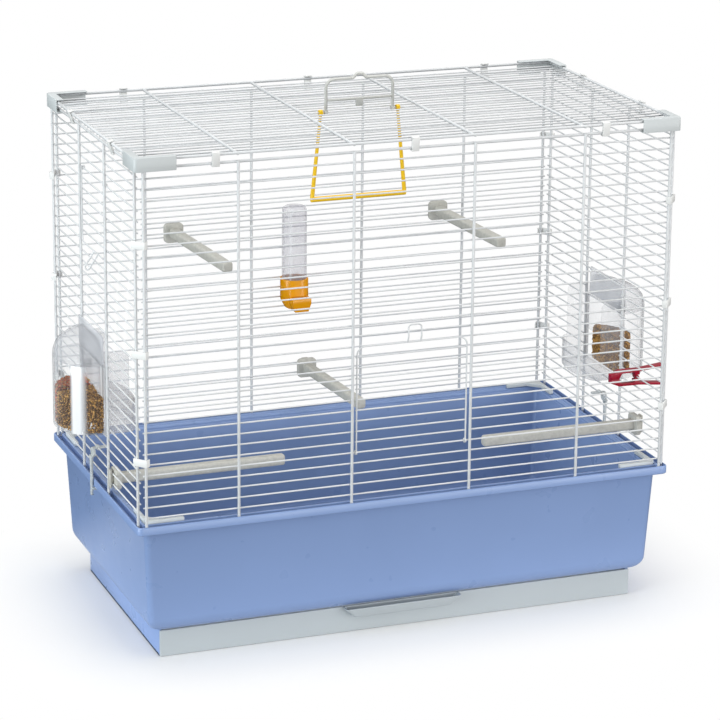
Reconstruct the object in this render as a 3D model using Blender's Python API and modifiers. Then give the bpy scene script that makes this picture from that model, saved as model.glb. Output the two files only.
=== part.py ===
"""Wire bird cage on a moulded tray with a pull-out drawer.

Metres, +Z up.  The origin is on the floor under the middle of the cage, and the front faces -Y.
"""

import math

import bmesh
import bpy
from mathutils import Matrix, Vector

# Fits and allowances that all pieces share
GAP = 0.0003
WELD = 0.0003
OVERRUN = 0.004
MERGE = 0.00001

# Wire
THICK = 0.0030
THIN = 0.0017
PITCH = 0.0115
STUB = 0.0010
THICK_SIDES = 8
THIN_SIDES = 4

# Tray: the rim, the groove that the wire panels stand in, the wall and its foot
RIM_LENGTH = 0.600
RIM_WIDTH = 0.331
RIM_TOP = 0.155
RIM_BAND = 0.009
RIM_OVERHANG = 0.010
RIM_CORNER = 0.006
RIM_ROUND = 0.0007
LIP_WALL = 0.0016
GROOVE_WIDTH = 0.0060
GROOVE_DEPTH = 0.0055
GROOVE_CORNER = 0.0042
RIDGE_WIDTH = 0.0030
RIDGE_CORNER = 0.0030
LEDGE_DROP = 0.0016
LEDGE_WIDTH = 0.0044
LEDGE_SLOPE = 0.0010
STEP_DROP = 0.0027
STEP_IN = 0.0005
WALL_CORNER = 0.007
INNER_CORNER = 0.005
FOOT_ROUND = 0.017
TRAY_FLOOR = 0.0025
WALL_DRAFT_SHARE = 0.05
INNER_DRAFT_SHARE = 0.03
CORNER_STEPS = 3
FOOT_STEPS = 4

# Plinth under the tray, and the runners that carry the drawer
PLINTH_SIDE_INSET = 0.030
PLINTH_FRONT_INSET = 0.0262
PLINTH_BACK_INSET = 0.0395
PLINTH_HEIGHT = 0.030
PLINTH_WALL = 0.0030
PLINTH_SINK = 0.0010
RUNNER_WIDTH = 0.012
RUNNER_HEIGHT = 0.0025
TRAY_OPENING_MARGIN = 0.008

# Drawer
DRAWER_WALL = 0.0018
DRAWER_FRONT_WALL = 0.0026
DRAWER_SIDE_GAP = 0.0008
DRAWER_FOOT_GAP = 0.0004
DRAWER_PAN_DROP = 0.0010
HANDLE_TOP_LENGTH = 0.134
HANDLE_LOW_LENGTH = 0.112
HANDLE_REACH = 0.0125
HANDLE_LOW_REACH = 0.0085
HANDLE_DEPTH = 0.0105
HANDLE_WALL = 0.0018
HANDLE_CORNER = 0.005

# Wire panels: rows count up from the tray, and as many as fit stay under the rail
TOP_WIRE_HEIGHT = 0.5381
RAIL_DROP = 0.0080
UPRIGHT_SPACING = 0.1328
OUTER_BAY = 0.0994
EDGE_INSET = 0.0101
FRONT_ROW_DROP = 0.0035
SIDE_EDGE_INSET = 0.0111
SIDE_UPRIGHT = 0.0470
SIDE_PITCH = 0.01143
SIDE_ROW_LIFT = 0.0115
TOP_RAIL_LIFT = 0.0009
TOP_RAIL_INSET = 0.0015
TOP_ROW_MARGIN = 0.012

# Front door
DOOR_HALF_WIDTH = 0.0615
DOOR_FIRST_ROW = 6
DOOR_LAST_ROW = 15
DOOR_CORNER = 0.009
DOOR_EYE_WIDTH = 0.0022
LOOP_LEFT = -0.0054
LOOP_RIGHT = 0.0091
LOOP_HEIGHT = 0.0190
LOOP_STAND_OFF = 0.0027
LOOP_TOP_OFF = 0.0016
LOOP_CORNER = 0.0035

# Flap door in the left panel
FLAP_HALF_WIDTH = 0.042
FLAP_FIRST_ROW = 21
FLAP_LAST_ROW = 27
FLAP_CORNER = 0.006
FLAP_LOOP_WIDTH = 0.014
FLAP_LOOP_PLACE = -0.010
FLAP_LOOP_DROP = 0.0165
FLAP_LOOP_OUT = 0.011

# Eyes that turn on a thin wire
EYE_BORE = 0.00125
EYE_WALL = 0.0013
EYE_SIDES = 8

# Corner caps on top and brackets at the foot
CAP_LENGTH_X = 0.044
CAP_LENGTH_Y = 0.040
CAP_DROP = 0.0107
CAP_RISE = 0.0039
CAP_WALL = 0.0014
CAP_PLATE = 0.0012
CAP_LIP = 0.0009
CAP_WIDTH = 0.0085
CAP_CLEAR = 0.0004
CAP_CORNER_CLEAR = 0.016
BRACKET_LENGTH = 0.042
BRACKET_WIDTH = 0.0044
BRACKET_HEIGHT = 0.0045
BRACKET_GUSSET = 0.012

# Clips that snap over two wires
CLIP_WIDTH = 0.008
CLIP_POCKET = 0.00185
CLIP_PRONG = 0.0013
CLIP_SPINE = 0.0015
CLIP_TIP = 0.0026
CLIP_MIDDLE_TIP = 0.0007
TOP_CLIP_STEP = 0.0235
SIDE_CLIP_ROW = 7
CORNER_CLIP_LOW_ROW = 5
CORNER_CLIP_ROWS_DOWN = 7

# Perches
PERCH_DIAMETER = 0.012
PERCH_SIDES = 12
PERCH_TIP = 0.003
HEAD_SIZE = 0.022
HEAD_THICK = 0.0065
HEAD_CHAMFER = 0.0046
PERCH_LEAN_DEGREES = 4
HOOK_WIDTH = 0.008
HOOK_TALL = 0.020
HOOK_THICK = 0.0026
NECK_TALL = 0.0086
UPPER_LEFT_PERCH_X = -0.160
UPPER_RIGHT_PERCH_X = 0.157
UPPER_PERCH_LENGTH = 0.162
UPPER_PERCH_ROW = 19
MIDDLE_PERCH_X = -0.002
MIDDLE_PERCH_LENGTH = 0.152
MIDDLE_PERCH_ROW = 4
LEFT_PERCH_Y = -0.0535
LEFT_PERCH_ROW = 1
LEFT_PERCH_LENGTH = 0.190
RIGHT_PERCH_INSET = 0.0544
RIGHT_PERCH_ROW = 2
RIGHT_PERCH_LENGTH = 0.185

# Drinker: a bottle that stands upside down in a cup
DRINKER_X = -0.0217
TUBE_DIAMETER = 0.028
TUBE_WALL = 0.0012
TUBE_LENGTH = 0.0955
TUBE_LIFT = 0.0215
TUBE_DOME = 0.008
TUBE_SIDES = 16
CUP_WIDTH = 0.0306
CUP_HEIGHT = 0.0375
CUP_HOOK_LIFT = 0.01375
CUP_WALL = 0.0018
CUP_CORNER = 0.0125
CUP_SEAT = 0.0020
SPOUT_WIDTH = 0.0220
SPOUT_REACH = 0.0115
SPOUT_HEIGHT = 0.0150
CUP_HOOK_ROW = 12

# Feeders that sit in the openings of the side panels
FEEDER_FIRST_ROW = 5
FEEDER_LAST_ROW = 13
FEEDER_LIFT = 0.005
HOPPER_HALF_WIDTH = 0.047
HOPPER_DEPTH = 0.0426
HOPPER_HEIGHT = 0.07493
HOPPER_STEPS = 12
FEEDER_WALL = 0.0015
DIVIDER_WALL = 0.0014
SEED_GATE = 0.034
DIVIDER_DROP = 0.004
GUARD_REACH = 0.0262
GUARD_HEIGHT = 0.08993
CUP_LIP_REACH = 0.0150
CUP_LIP_HEIGHT = 0.0300
LID_RISE = 0.0320
LID_FLANGE_HALF = 0.0455
LID_DEPTH_SHARES = (0.0, 0.03, 0.12, 0.26, 0.46, 0.85)
LID_WIDTH_SHARES = (0.0, 0.02, 0.06, 0.12, 0.20, 0.34)
LID_RISE_SHARES = (0.0, 0.16, 0.33, 0.48, 0.66, 1.0)

# Latches that hold the wire top down on the tray
LATCH_ROW = 2
LATCH_HEAD_WIDTH = 0.0110
LATCH_HEAD_HIGH = 0.0065
LATCH_HEAD_LOW = 0.0120
LATCH_HEAD_THICK = 0.0030
LATCH_HEAD_CHAMFER = 0.0030
LATCH_ARM_WIDTH = 0.0048
LATCH_ARM_THICK = 0.0028
LATCH_ARM_CLEAR = 0.0005
LATCH_TAIL = 0.0090
LATCH_HOOK_GAP = 0.0008
LATCH_HOOK_THICK = 0.0030
LATCH_HOOK_REACH = 0.0065
LATCH_EYE_WIDTH = 0.0060
LATCH_TONGUE = 0.0080
LATCH_TONGUE_THICK = 0.0022

# Swing
SWING_TOP_SPAN = 0.088
SWING_LOW_SPAN = 0.107
SWING_DROP = 0.09715
SWING_ARM = 0.0036
SWING_BAR = 0.0052
SWING_EYE_WIDTH = 0.0040
SWING_EYE_WALL = 0.0021
SWING_SIDES = 8

# Carrying handle on the middle wire of the top
HANDLE_SPAN = 0.076
HANDLE_BAR_RISE = 0.0334
HANDLE_HUMP = 0.0046
HANDLE_HUMP_HALF = 0.0078
HANDLE_HUMP_TOP_HALF = 0.0030
HANDLE_ROD = 0.0035
HANDLE_BEND = 0.009
HANDLE_CROSSBAR_RISE = 0.0109
HANDLE_TAB_WIDTH = 0.008
HANDLE_TAB_THICK = 0.003
HANDLE_TAB_RISE = 0.0029
HANDLE_EYE_WIDTH = 0.0040
BEND_STEPS = 4

# Food clip in the right panel
CLIP_ROW = 6
FOOD_CLIP_Y = -0.0900
FOOD_CLIP_WIDTH = 0.0080
FOOD_CLIP_NOSE = 0.0315
FOOD_CLIP_TAIL = 0.0310
FOOD_CLIP_ARM = 0.0030
FOOD_CLIP_HALF = 0.0090
FOOD_CLIP_TAIL_HALF = 0.0120
FOOD_CLIP_NOSE_LENGTH = 0.0100
FOOD_CLIP_NOSE_HALF = 0.0045
FOOD_CLIP_HUB = 0.0028

# Sizes that follow from the ones above
THICK_R = THICK / 2
THIN_R = THIN / 2
RIM_HALF_X = RIM_LENGTH / 2
RIM_HALF_Y = RIM_WIDTH / 2
RIM_UNDERSIDE = RIM_TOP - RIM_BAND
PLINTH_LENGTH = RIM_LENGTH - 2 * PLINTH_SIDE_INSET
PLINTH_FRONT = RIM_HALF_Y - PLINTH_FRONT_INSET
PLINTH_BACK = RIM_HALF_Y - PLINTH_BACK_INSET
GROOVE_FLOOR = RIM_TOP - GROOVE_DEPTH
WIRE_INSET = LIP_WALL + GAP + THICK_R
THICK_X = RIM_HALF_X - WIRE_INSET
THICK_Y = RIM_HALF_Y - WIRE_INSET
WELD_STEP = THICK_R + THIN_R - WELD
RAIL_STEP = THICK - WELD
THIN_STEP = THIN - WELD
THIN_X = THICK_X - WELD_STEP
THIN_Y = THICK_Y - WELD_STEP
RAIL_X = THICK_X - RAIL_STEP
RAIL_Y = THICK_Y - RAIL_STEP
WIRE_FOOT = GROOVE_FLOOR + GAP
RAIL_HEIGHT = TOP_WIRE_HEIGHT - RAIL_DROP
UPRIGHT_TOP = RAIL_HEIGHT + STUB
TOP_THIN_HEIGHT = TOP_WIRE_HEIGHT - WELD_STEP
TOP_RAIL_HEIGHT = TOP_WIRE_HEIGHT + TOP_RAIL_LIFT
TOP_RAIL_Y = THICK_Y - TOP_RAIL_INSET
LEDGE_OFFSET = LIP_WALL + GROOVE_WIDTH + RIDGE_WIDTH
EDGE_UPRIGHT = RIM_HALF_X - EDGE_INSET
UPRIGHT_OUTER = EDGE_UPRIGHT - OUTER_BAY
SIDE_EDGE = RIM_HALF_Y - SIDE_EDGE_INSET
FRONT_UPRIGHTS = (-EDGE_UPRIGHT, -UPRIGHT_OUTER, -UPRIGHT_SPACING / 2,
                  UPRIGHT_SPACING / 2, UPRIGHT_OUTER, EDGE_UPRIGHT)
SIDE_UPRIGHTS = (-SIDE_EDGE, -SIDE_UPRIGHT, SIDE_UPRIGHT, SIDE_EDGE)
EYE_OUTER = EYE_BORE + EYE_WALL
PANEL_FACE = THICK_X + THICK_R + GAP
FRONT_ROW_LOW = RIM_TOP - FRONT_ROW_DROP
FRONT_ROWS = math.ceil((RAIL_HEIGHT - FRONT_ROW_LOW) / PITCH)
SIDE_ROW_LOW = RIM_TOP + SIDE_ROW_LIFT
SIDE_ROWS = math.ceil((RAIL_HEIGHT - SIDE_ROW_LOW) / SIDE_PITCH)
TOP_ROWS_BESIDE = math.floor((RIM_HALF_Y - TOP_ROW_MARGIN) / PITCH)


def front_row(number):
    """Height of a thin wire of the front and back panels, counted up from 0 at the bottom."""
    return FRONT_ROW_LOW + PITCH * number


def side_row(number):
    """Height of a thin wire of the side panels, counted up from 0 at the bottom."""
    return SIDE_ROW_LOW + SIDE_PITCH * number


def top_row(number):
    """Place along Y of a thin wire of the top panel, counted to both sides of the middle one."""
    return PITCH * number


def clear_scene():
    for item in list(bpy.data.objects):
        bpy.data.objects.remove(item, do_unlink=True)
    for group in list(bpy.data.collections):
        bpy.data.collections.remove(group)


clear_scene()
CAGE = bpy.data.collections.new("bird_cage")
TOOLS = bpy.data.collections.new("cutters")
bpy.context.scene.collection.children.link(CAGE)
bpy.context.scene.collection.children.link(TOOLS)


def finish(name, colour, roughness, metallic=0.0, alpha=1.0):
    material = bpy.data.materials.new(name)
    material.use_nodes = True
    shader = material.node_tree.nodes["Principled BSDF"]
    shader.inputs["Base Color"].default_value = (*colour, 1.0)
    shader.inputs["Roughness"].default_value = roughness
    shader.inputs["Metallic"].default_value = metallic
    shader.inputs["Alpha"].default_value = alpha
    material.diffuse_color = (*colour, alpha)
    return material


BLUE_PLASTIC = finish("blue_plastic", (0.24, 0.34, 0.63), 0.35)
GREY_PLASTIC = finish("pale_grey_plastic", (0.58, 0.62, 0.61), 0.40)
WHITE_PLASTIC = finish("white_plastic", (0.80, 0.80, 0.78), 0.40)
COATED_WIRE = finish("coated_wire", (0.68, 0.71, 0.76), 0.30)
PERCH_PLASTIC = finish("perch_plastic", (0.44, 0.42, 0.35), 0.50)
YELLOW_PLASTIC = finish("yellow_plastic", (0.84, 0.50, 0.02), 0.35)
ORANGE_PLASTIC = finish("orange_plastic", (0.80, 0.30, 0.01), 0.30)
RED_PLASTIC = finish("red_plastic", (0.38, 0.005, 0.02), 0.30)
CLEAR_PLASTIC = finish("clear_plastic", (0.86, 0.88, 0.90), 0.08, alpha=0.35)
HANDLE_PLASTIC = finish("handle_plastic", (0.66, 0.66, 0.62), 0.40)


def place_mesh(name, bm, group, origin=(0, 0, 0)):
    """Make an object of a bmesh that is in world coordinates, with its origin at a given point."""
    bmesh.ops.recalc_face_normals(bm, faces=bm.faces)
    mesh = bpy.data.meshes.new(name)
    bm.to_mesh(mesh)
    bm.free()
    mesh.transform(Matrix.Translation(-Vector(origin)))
    item = bpy.data.objects.new(name, mesh)
    item.location = origin
    group.objects.link(item)
    return item


def piece(name, bm, material, origin=(0, 0, 0)):
    item = place_mesh(name, bm, CAGE, origin)
    item.data.materials.append(material)
    item.data.shade_smooth()
    item.data.set_sharp_from_angle(angle=math.radians(50))
    bpy.context.view_layer.update()
    return item


def operand(name, bm):
    item = place_mesh(name, bm, TOOLS)
    item.hide_render = True
    item.display_type = "WIRE"
    return item


def boolean(item, tool, operation):
    modifier = item.modifiers.new(tool.name, "BOOLEAN")
    modifier.operation = operation
    modifier.solver = "EXACT"
    modifier.object = tool


def join(item, name, bm):
    boolean(item, operand(name, bm), "UNION")


def cut(item, name, bm):
    boolean(item, operand(name, bm), "DIFFERENCE")


def frame_at(centre, out, up):
    """Matrix whose Z points out, whose Y points up and whose X completes them."""
    out = Vector(out).normalized()
    up = Vector(up).normalized()
    side = up.cross(out)
    turn = Matrix((side, up, out)).transposed()
    return Matrix.Translation(centre) @ turn.to_4x4()


def rod(bm, start, end, radius, sides):
    start = Vector(start)
    end = Vector(end)
    run = end - start
    turn = Vector((0, 0, 1)).rotation_difference(run).to_matrix().to_4x4()
    place = Matrix.Translation((start + end) / 2) @ turn
    bmesh.ops.create_cone(bm, cap_ends=True, segments=sides, radius1=radius, radius2=radius,
                          depth=run.length, matrix=place)


def box(bm, low, high):
    low = Vector(low)
    high = Vector(high)
    place = Matrix.Translation((low + high) / 2) @ Matrix.Diagonal((*(high - low), 1))
    bmesh.ops.create_cube(bm, size=1, matrix=place)


def ring(bm, centre, axis, inner, outer, width, sides):
    turn = Vector((0, 0, 1)).rotation_difference(Vector(axis)).to_matrix().to_4x4()
    place = Matrix.Translation(centre) @ turn
    half = width / 2
    corners = ((inner, -half), (outer, -half), (outer, half), (inner, half))
    verts = [bm.verts.new(place @ Vector((radius, 0, height))) for radius, height in corners]
    edges = [bm.edges.new((verts[index - 1], verts[index])) for index in range(len(verts))]
    bmesh.ops.spin(bm, geom=verts + edges, cent=centre, axis=axis, angle=math.tau,
                   steps=sides, use_merge=True)


def eye(bm, centre, axis, width, wall=EYE_WALL):
    ring(bm, centre, axis, EYE_BORE, EYE_BORE + wall, width, EYE_SIDES)


def curve_into(bm, curve, place):
    """Add a curve's evaluated mesh, its caps welded on, to a bmesh."""
    item = bpy.data.objects.new(curve.name, curve)
    TOOLS.objects.link(item)
    graph = bpy.context.evaluated_depsgraph_get()
    mesh = bpy.data.meshes.new_from_object(item.evaluated_get(graph))
    mesh.transform(place)
    bpy.data.objects.remove(item, do_unlink=True)
    bm.from_mesh(mesh)
    bmesh.ops.remove_doubles(bm, verts=bm.verts, dist=MERGE)
    bpy.data.meshes.remove(mesh)


def tube(bm, points, radius, resolution=1):
    curve = bpy.data.curves.new("tube", "CURVE")
    curve.dimensions = "3D"
    curve.bevel_depth = radius
    curve.bevel_resolution = resolution
    curve.use_fill_caps = True
    spline = curve.splines.new("POLY")
    spline.points.add(len(points) - 1)
    for point, place in zip(spline.points, points):
        point.co = (*place, 1)
    curve_into(bm, curve, Matrix.Identity(4))


def plate(bm, outline, thickness, place):
    """A flat outline, its thickness to both sides of the frame's XY plane."""
    curve = bpy.data.curves.new("plate", "CURVE")
    curve.dimensions = "2D"
    curve.fill_mode = "BOTH"
    curve.extrude = thickness / 2
    spline = curve.splines.new("POLY")
    spline.use_cyclic_u = True
    spline.points.add(len(outline) - 1)
    for point, place_2d in zip(spline.points, outline):
        point.co = (*place_2d, 0, 1)
    curve_into(bm, curve, place)


def bend(points, radius, steps=BEND_STEPS):
    """Round the inner corners of a path."""
    points = [Vector(point) for point in points]
    path = [points[0]]
    for before, corner, after in zip(points, points[1:], points[2:]):
        into = (corner - before).normalized()
        out = (after - corner).normalized()
        half = into.angle(out) / 2
        start = corner - into * radius * math.tan(half)
        centre = corner + (out - into).normalized() * radius / math.cos(half)
        axis = into.cross(out).normalized()
        for step in range(steps + 1):
            turn = Matrix.Rotation(2 * half * step / steps, 3, axis)
            path.append(centre + turn @ (start - centre))
    path.append(points[-1])
    return path


def round_rectangle(half_x, half_y, radius, steps, centre=(0, 0)):
    """Points of a rectangle with round corners, counter-clockwise."""
    points = []
    corners = ((1, 1), (-1, 1), (-1, -1), (1, -1))
    for quarter, (side_x, side_y) in enumerate(corners):
        for step in range(steps + 1):
            angle = math.pi / 2 * (quarter + step / steps)
            points.append((centre[0] + side_x * (half_x - radius) + radius * math.cos(angle),
                           centre[1] + side_y * (half_y - radius) + radius * math.sin(angle)))
    return points


def chamfered(half_x, half_y, chamfer):
    """Points of a rectangle with cut corners, counter-clockwise."""
    return round_rectangle(half_x, half_y, chamfer, 1)


def loft(bm, rings, closed=False):
    """Skin a list of rings of points that all have the same count."""
    rows = [[bm.verts.new(point) for point in ring_points] for ring_points in rings]
    count = len(rows[0])
    pairs = list(zip(rows, rows[1:]))
    if closed:
        pairs.append((rows[-1], rows[0]))
    for lower, upper in pairs:
        for index in range(count):
            after = (index + 1) % count
            bm.faces.new((lower[index], lower[after], upper[after], upper[index]))
    if not closed:
        bm.faces.new(rows[0][::-1])
        bm.faces.new(rows[-1])


def mirrored(item, name, material):
    """A finished copy of a piece, mirrored to the other side of the cage."""
    bpy.context.view_layer.update()
    graph = bpy.context.evaluated_depsgraph_get()
    mesh = bpy.data.meshes.new_from_object(item.evaluated_get(graph))
    mesh.transform(item.matrix_world)
    bm = bmesh.new()
    bm.from_mesh(mesh)
    bpy.data.meshes.remove(mesh)
    bmesh.ops.transform(bm, matrix=Matrix.Scale(-1, 4, (1, 0, 0)), verts=bm.verts)
    bmesh.ops.reverse_faces(bm, faces=bm.faces)
    origin = (-item.location.x, item.location.y, item.location.z)
    return piece(name, bm, material, origin)


# Tray and drawer

def tray_ring(offset, height, radius):
    half_x = RIM_HALF_X - offset
    half_y = RIM_HALF_Y - offset
    return [(*point, height) for point in round_rectangle(half_x, half_y, radius, CORNER_STEPS)]


def opening_ring(height):
    half_x = PLINTH_LENGTH / 2 - TRAY_OPENING_MARGIN
    half_y = (PLINTH_FRONT + PLINTH_BACK) / 2 - TRAY_OPENING_MARGIN
    centre = (0, (PLINTH_BACK - PLINTH_FRONT) / 2)
    outline = round_rectangle(half_x, half_y, INNER_CORNER, CORNER_STEPS, centre)
    return [(*point, height) for point in outline]


def foot_rings(wall_offset, height, radius, corner):
    """Rings along the round foot of a wall, from its flat underside up to the wall."""
    rings = []
    for step in range(FOOT_STEPS + 1):
        angle = math.pi / 2 * step / FOOT_STEPS
        offset = wall_offset + radius * (1 - math.sin(angle))
        rings.append(tray_ring(offset, height + radius * (1 - math.cos(angle)), corner))
    return rings


def make_tray():
    inner_round = FOOT_ROUND - TRAY_FLOOR
    floor = PLINTH_HEIGHT + TRAY_FLOOR
    wall_fall = RIM_UNDERSIDE - PLINTH_HEIGHT - FOOT_ROUND
    wall_foot = RIM_OVERHANG + WALL_DRAFT_SHARE * wall_fall
    step_offset = LEDGE_OFFSET + LEDGE_WIDTH + STEP_IN
    step_height = RIM_TOP - LEDGE_DROP - LEDGE_SLOPE - STEP_DROP
    inner_foot = step_offset + INNER_DRAFT_SHARE * (step_height - floor - inner_round)
    groove_inner = LIP_WALL + GROOVE_WIDTH
    ledge_inner = LEDGE_OFFSET + LEDGE_WIDTH

    rings = [opening_ring(PLINTH_HEIGHT)]
    rings += foot_rings(wall_foot, PLINTH_HEIGHT, FOOT_ROUND, WALL_CORNER)
    rings.append(tray_ring(RIM_OVERHANG, RIM_UNDERSIDE, WALL_CORNER))
    rings.append(tray_ring(0, RIM_UNDERSIDE, RIM_CORNER))
    rings.append(tray_ring(0, RIM_TOP - RIM_ROUND, RIM_CORNER))
    rings.append(tray_ring(RIM_ROUND, RIM_TOP, RIM_CORNER - RIM_ROUND))
    rings.append(tray_ring(LIP_WALL, RIM_TOP, GROOVE_CORNER))
    rings.append(tray_ring(LIP_WALL, GROOVE_FLOOR, GROOVE_CORNER))
    rings.append(tray_ring(groove_inner, GROOVE_FLOOR, RIDGE_CORNER))
    rings.append(tray_ring(groove_inner, RIM_TOP, RIDGE_CORNER))
    rings.append(tray_ring(LEDGE_OFFSET, RIM_TOP, RIDGE_CORNER))
    rings.append(tray_ring(LEDGE_OFFSET, RIM_TOP - LEDGE_DROP, RIDGE_CORNER))
    rings.append(tray_ring(ledge_inner, RIM_TOP - LEDGE_DROP - LEDGE_SLOPE, INNER_CORNER))
    rings.append(tray_ring(ledge_inner, step_height, INNER_CORNER))
    rings.append(tray_ring(step_offset, step_height, INNER_CORNER))
    rings += foot_rings(inner_foot, floor, inner_round, INNER_CORNER)[::-1]
    rings.append(opening_ring(floor))
    bm = bmesh.new()
    loft(bm, rings, closed=True)
    tray = piece("tray_base", bm, BLUE_PLASTIC)

    half = PLINTH_LENGTH / 2
    top = PLINTH_HEIGHT + PLINTH_SINK
    front = -PLINTH_FRONT + DRAWER_FRONT_WALL + GAP
    for name, depth, height in (("plinth_walls", PLINTH_WALL, top),
                                ("drawer_runners", RUNNER_WIDTH, RUNNER_HEIGHT)):
        inner = half - depth
        back = PLINTH_BACK - depth
        outline = ((-half, front), (-inner, front), (-inner, back), (inner, back),
                   (inner, front), (half, front), (half, PLINTH_BACK), (-half, PLINTH_BACK))
        bm = bmesh.new()
        plate(bm, outline, height, frame_at((0, 0, height / 2), (0, 0, 1), (0, 1, 0)))
        join(tray, name, bm)
    return tray


def make_drawer():
    half = PLINTH_LENGTH / 2
    foot = DRAWER_FOOT_GAP
    top = PLINTH_HEIGHT - 2 * GAP
    face = -PLINTH_FRONT
    pan_half = half - PLINTH_WALL - DRAWER_SIDE_GAP
    pan_back = PLINTH_BACK - PLINTH_WALL - DRAWER_SIDE_GAP
    pan_low = RUNNER_HEIGHT + GAP
    pan_top = top - DRAWER_PAN_DROP
    pan_front = face + DRAWER_FRONT_WALL / 2

    bm = bmesh.new()
    box(bm, (-half, face, foot), (half, face + DRAWER_FRONT_WALL, top))
    drawer = piece("drawer", bm, GREY_PLASTIC, (0, face, foot))
    bm = bmesh.new()
    box(bm, (-pan_half, pan_front, pan_low), (pan_half, pan_back, pan_top))
    join(drawer, "drawer_pan", bm)
    bm = bmesh.new()
    box(bm, (-pan_half + DRAWER_WALL, face + DRAWER_FRONT_WALL, pan_low + DRAWER_WALL),
        (pan_half - DRAWER_WALL, pan_back - DRAWER_WALL, pan_top + OVERRUN))
    cut(drawer, "drawer_room", bm)

    def handle_rings(wall, low, high):
        rings = []
        for length, reach, height in ((HANDLE_LOW_LENGTH, HANDLE_LOW_REACH, low),
                                      (HANDLE_TOP_LENGTH, HANDLE_REACH, high)):
            root = DRAWER_FRONT_WALL / 2 if not wall else 0
            out = reach - wall
            centre = (0, face + (root - out) / 2)
            corner = HANDLE_CORNER * reach / HANDLE_REACH - wall
            outline = round_rectangle(length / 2 - wall, (root + out) / 2, corner,
                                      CORNER_STEPS, centre)
            rings.append([(*point, height) for point in outline])
        return rings

    handle_low = top - HANDLE_DEPTH
    bm = bmesh.new()
    loft(bm, handle_rings(0, handle_low, top))
    join(drawer, "drawer_handle", bm)
    bm = bmesh.new()
    loft(bm, handle_rings(HANDLE_WALL, handle_low + HANDLE_WALL, top + OVERRUN))
    cut(drawer, "drawer_finger_room", bm)
    return drawer


# Wire panels

def lattice(name, uprights, rows):
    """Weld two families of straight wires into one panel."""
    bm = bmesh.new()
    for start, end, radius, sides in uprights:
        rod(bm, start, end, radius, sides)
    panel = piece(name, bm, COATED_WIRE)
    bm = bmesh.new()
    for start, end, radius, sides in rows:
        rod(bm, start, end, radius, sides)
    join(panel, name + "_rows", bm)
    return panel


def spans(half, post, is_open):
    """Ends of a thin wire, in two lengths where an opening between two posts breaks it."""
    end = half + THICK_R + STUB
    if not is_open:
        return ((-end, end),)
    inner = post - THICK_R + WELD
    return ((-end, -inner), (inner, end))


def make_front_or_back(name, side, door_rows):
    uprights = []
    for x in FRONT_UPRIGHTS:
        uprights.append(((x, side * THICK_Y, WIRE_FOOT), (x, side * THICK_Y, UPRIGHT_TOP),
                         THICK_R, THICK_SIDES))
    rows = []
    for number in range(FRONT_ROWS):
        height = front_row(number)
        for low, high in spans(EDGE_UPRIGHT, UPRIGHT_SPACING / 2, number in door_rows):
            rows.append(((low, side * THIN_Y, height), (high, side * THIN_Y, height),
                         THIN_R, THIN_SIDES))
    rail = EDGE_UPRIGHT + THICK_R + STUB
    rows.append(((-rail, side * RAIL_Y, RAIL_HEIGHT), (rail, side * RAIL_Y, RAIL_HEIGHT),
                 THICK_R, THICK_SIDES))
    return lattice(name, uprights, rows)


def make_side(name, side, open_rows):
    uprights = []
    for y in SIDE_UPRIGHTS:
        uprights.append(((side * THICK_X, y, WIRE_FOOT), (side * THICK_X, y, UPRIGHT_TOP),
                         THICK_R, THICK_SIDES))
    rows = []
    for number in range(SIDE_ROWS):
        height = side_row(number)
        for low, high in spans(SIDE_EDGE, SIDE_UPRIGHT, number in open_rows):
            rows.append(((side * THIN_X, low, height), (side * THIN_X, high, height),
                         THIN_R, THIN_SIDES))
    rail = SIDE_EDGE + THICK_R + STUB
    rows.append(((side * RAIL_X, -rail, RAIL_HEIGHT), (side * RAIL_X, rail, RAIL_HEIGHT),
                 THICK_R, THICK_SIDES))
    return lattice(name, uprights, rows)


def make_top():
    end_y = TOP_RAIL_Y + STUB
    end_x = THICK_X + STUB
    uprights = []
    for x in (-THICK_X, *FRONT_UPRIGHTS[1:-1], THICK_X):
        uprights.append(((x, -end_y, TOP_WIRE_HEIGHT), (x, end_y, TOP_WIRE_HEIGHT),
                         THICK_R, THICK_SIDES))
    rows = []
    for number in range(-TOP_ROWS_BESIDE, TOP_ROWS_BESIDE + 1):
        y = top_row(number)
        rows.append(((-end_x, y, TOP_THIN_HEIGHT), (end_x, y, TOP_THIN_HEIGHT),
                     THIN_R, THIN_SIDES))
    for side in (-1, 1):
        y = side * TOP_RAIL_Y
        rows.append(((-end_x, y, TOP_RAIL_HEIGHT), (end_x, y, TOP_RAIL_HEIGHT),
                     THICK_R, THICK_SIDES))
    return lattice("top_panel", uprights, rows)


# Doors

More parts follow.
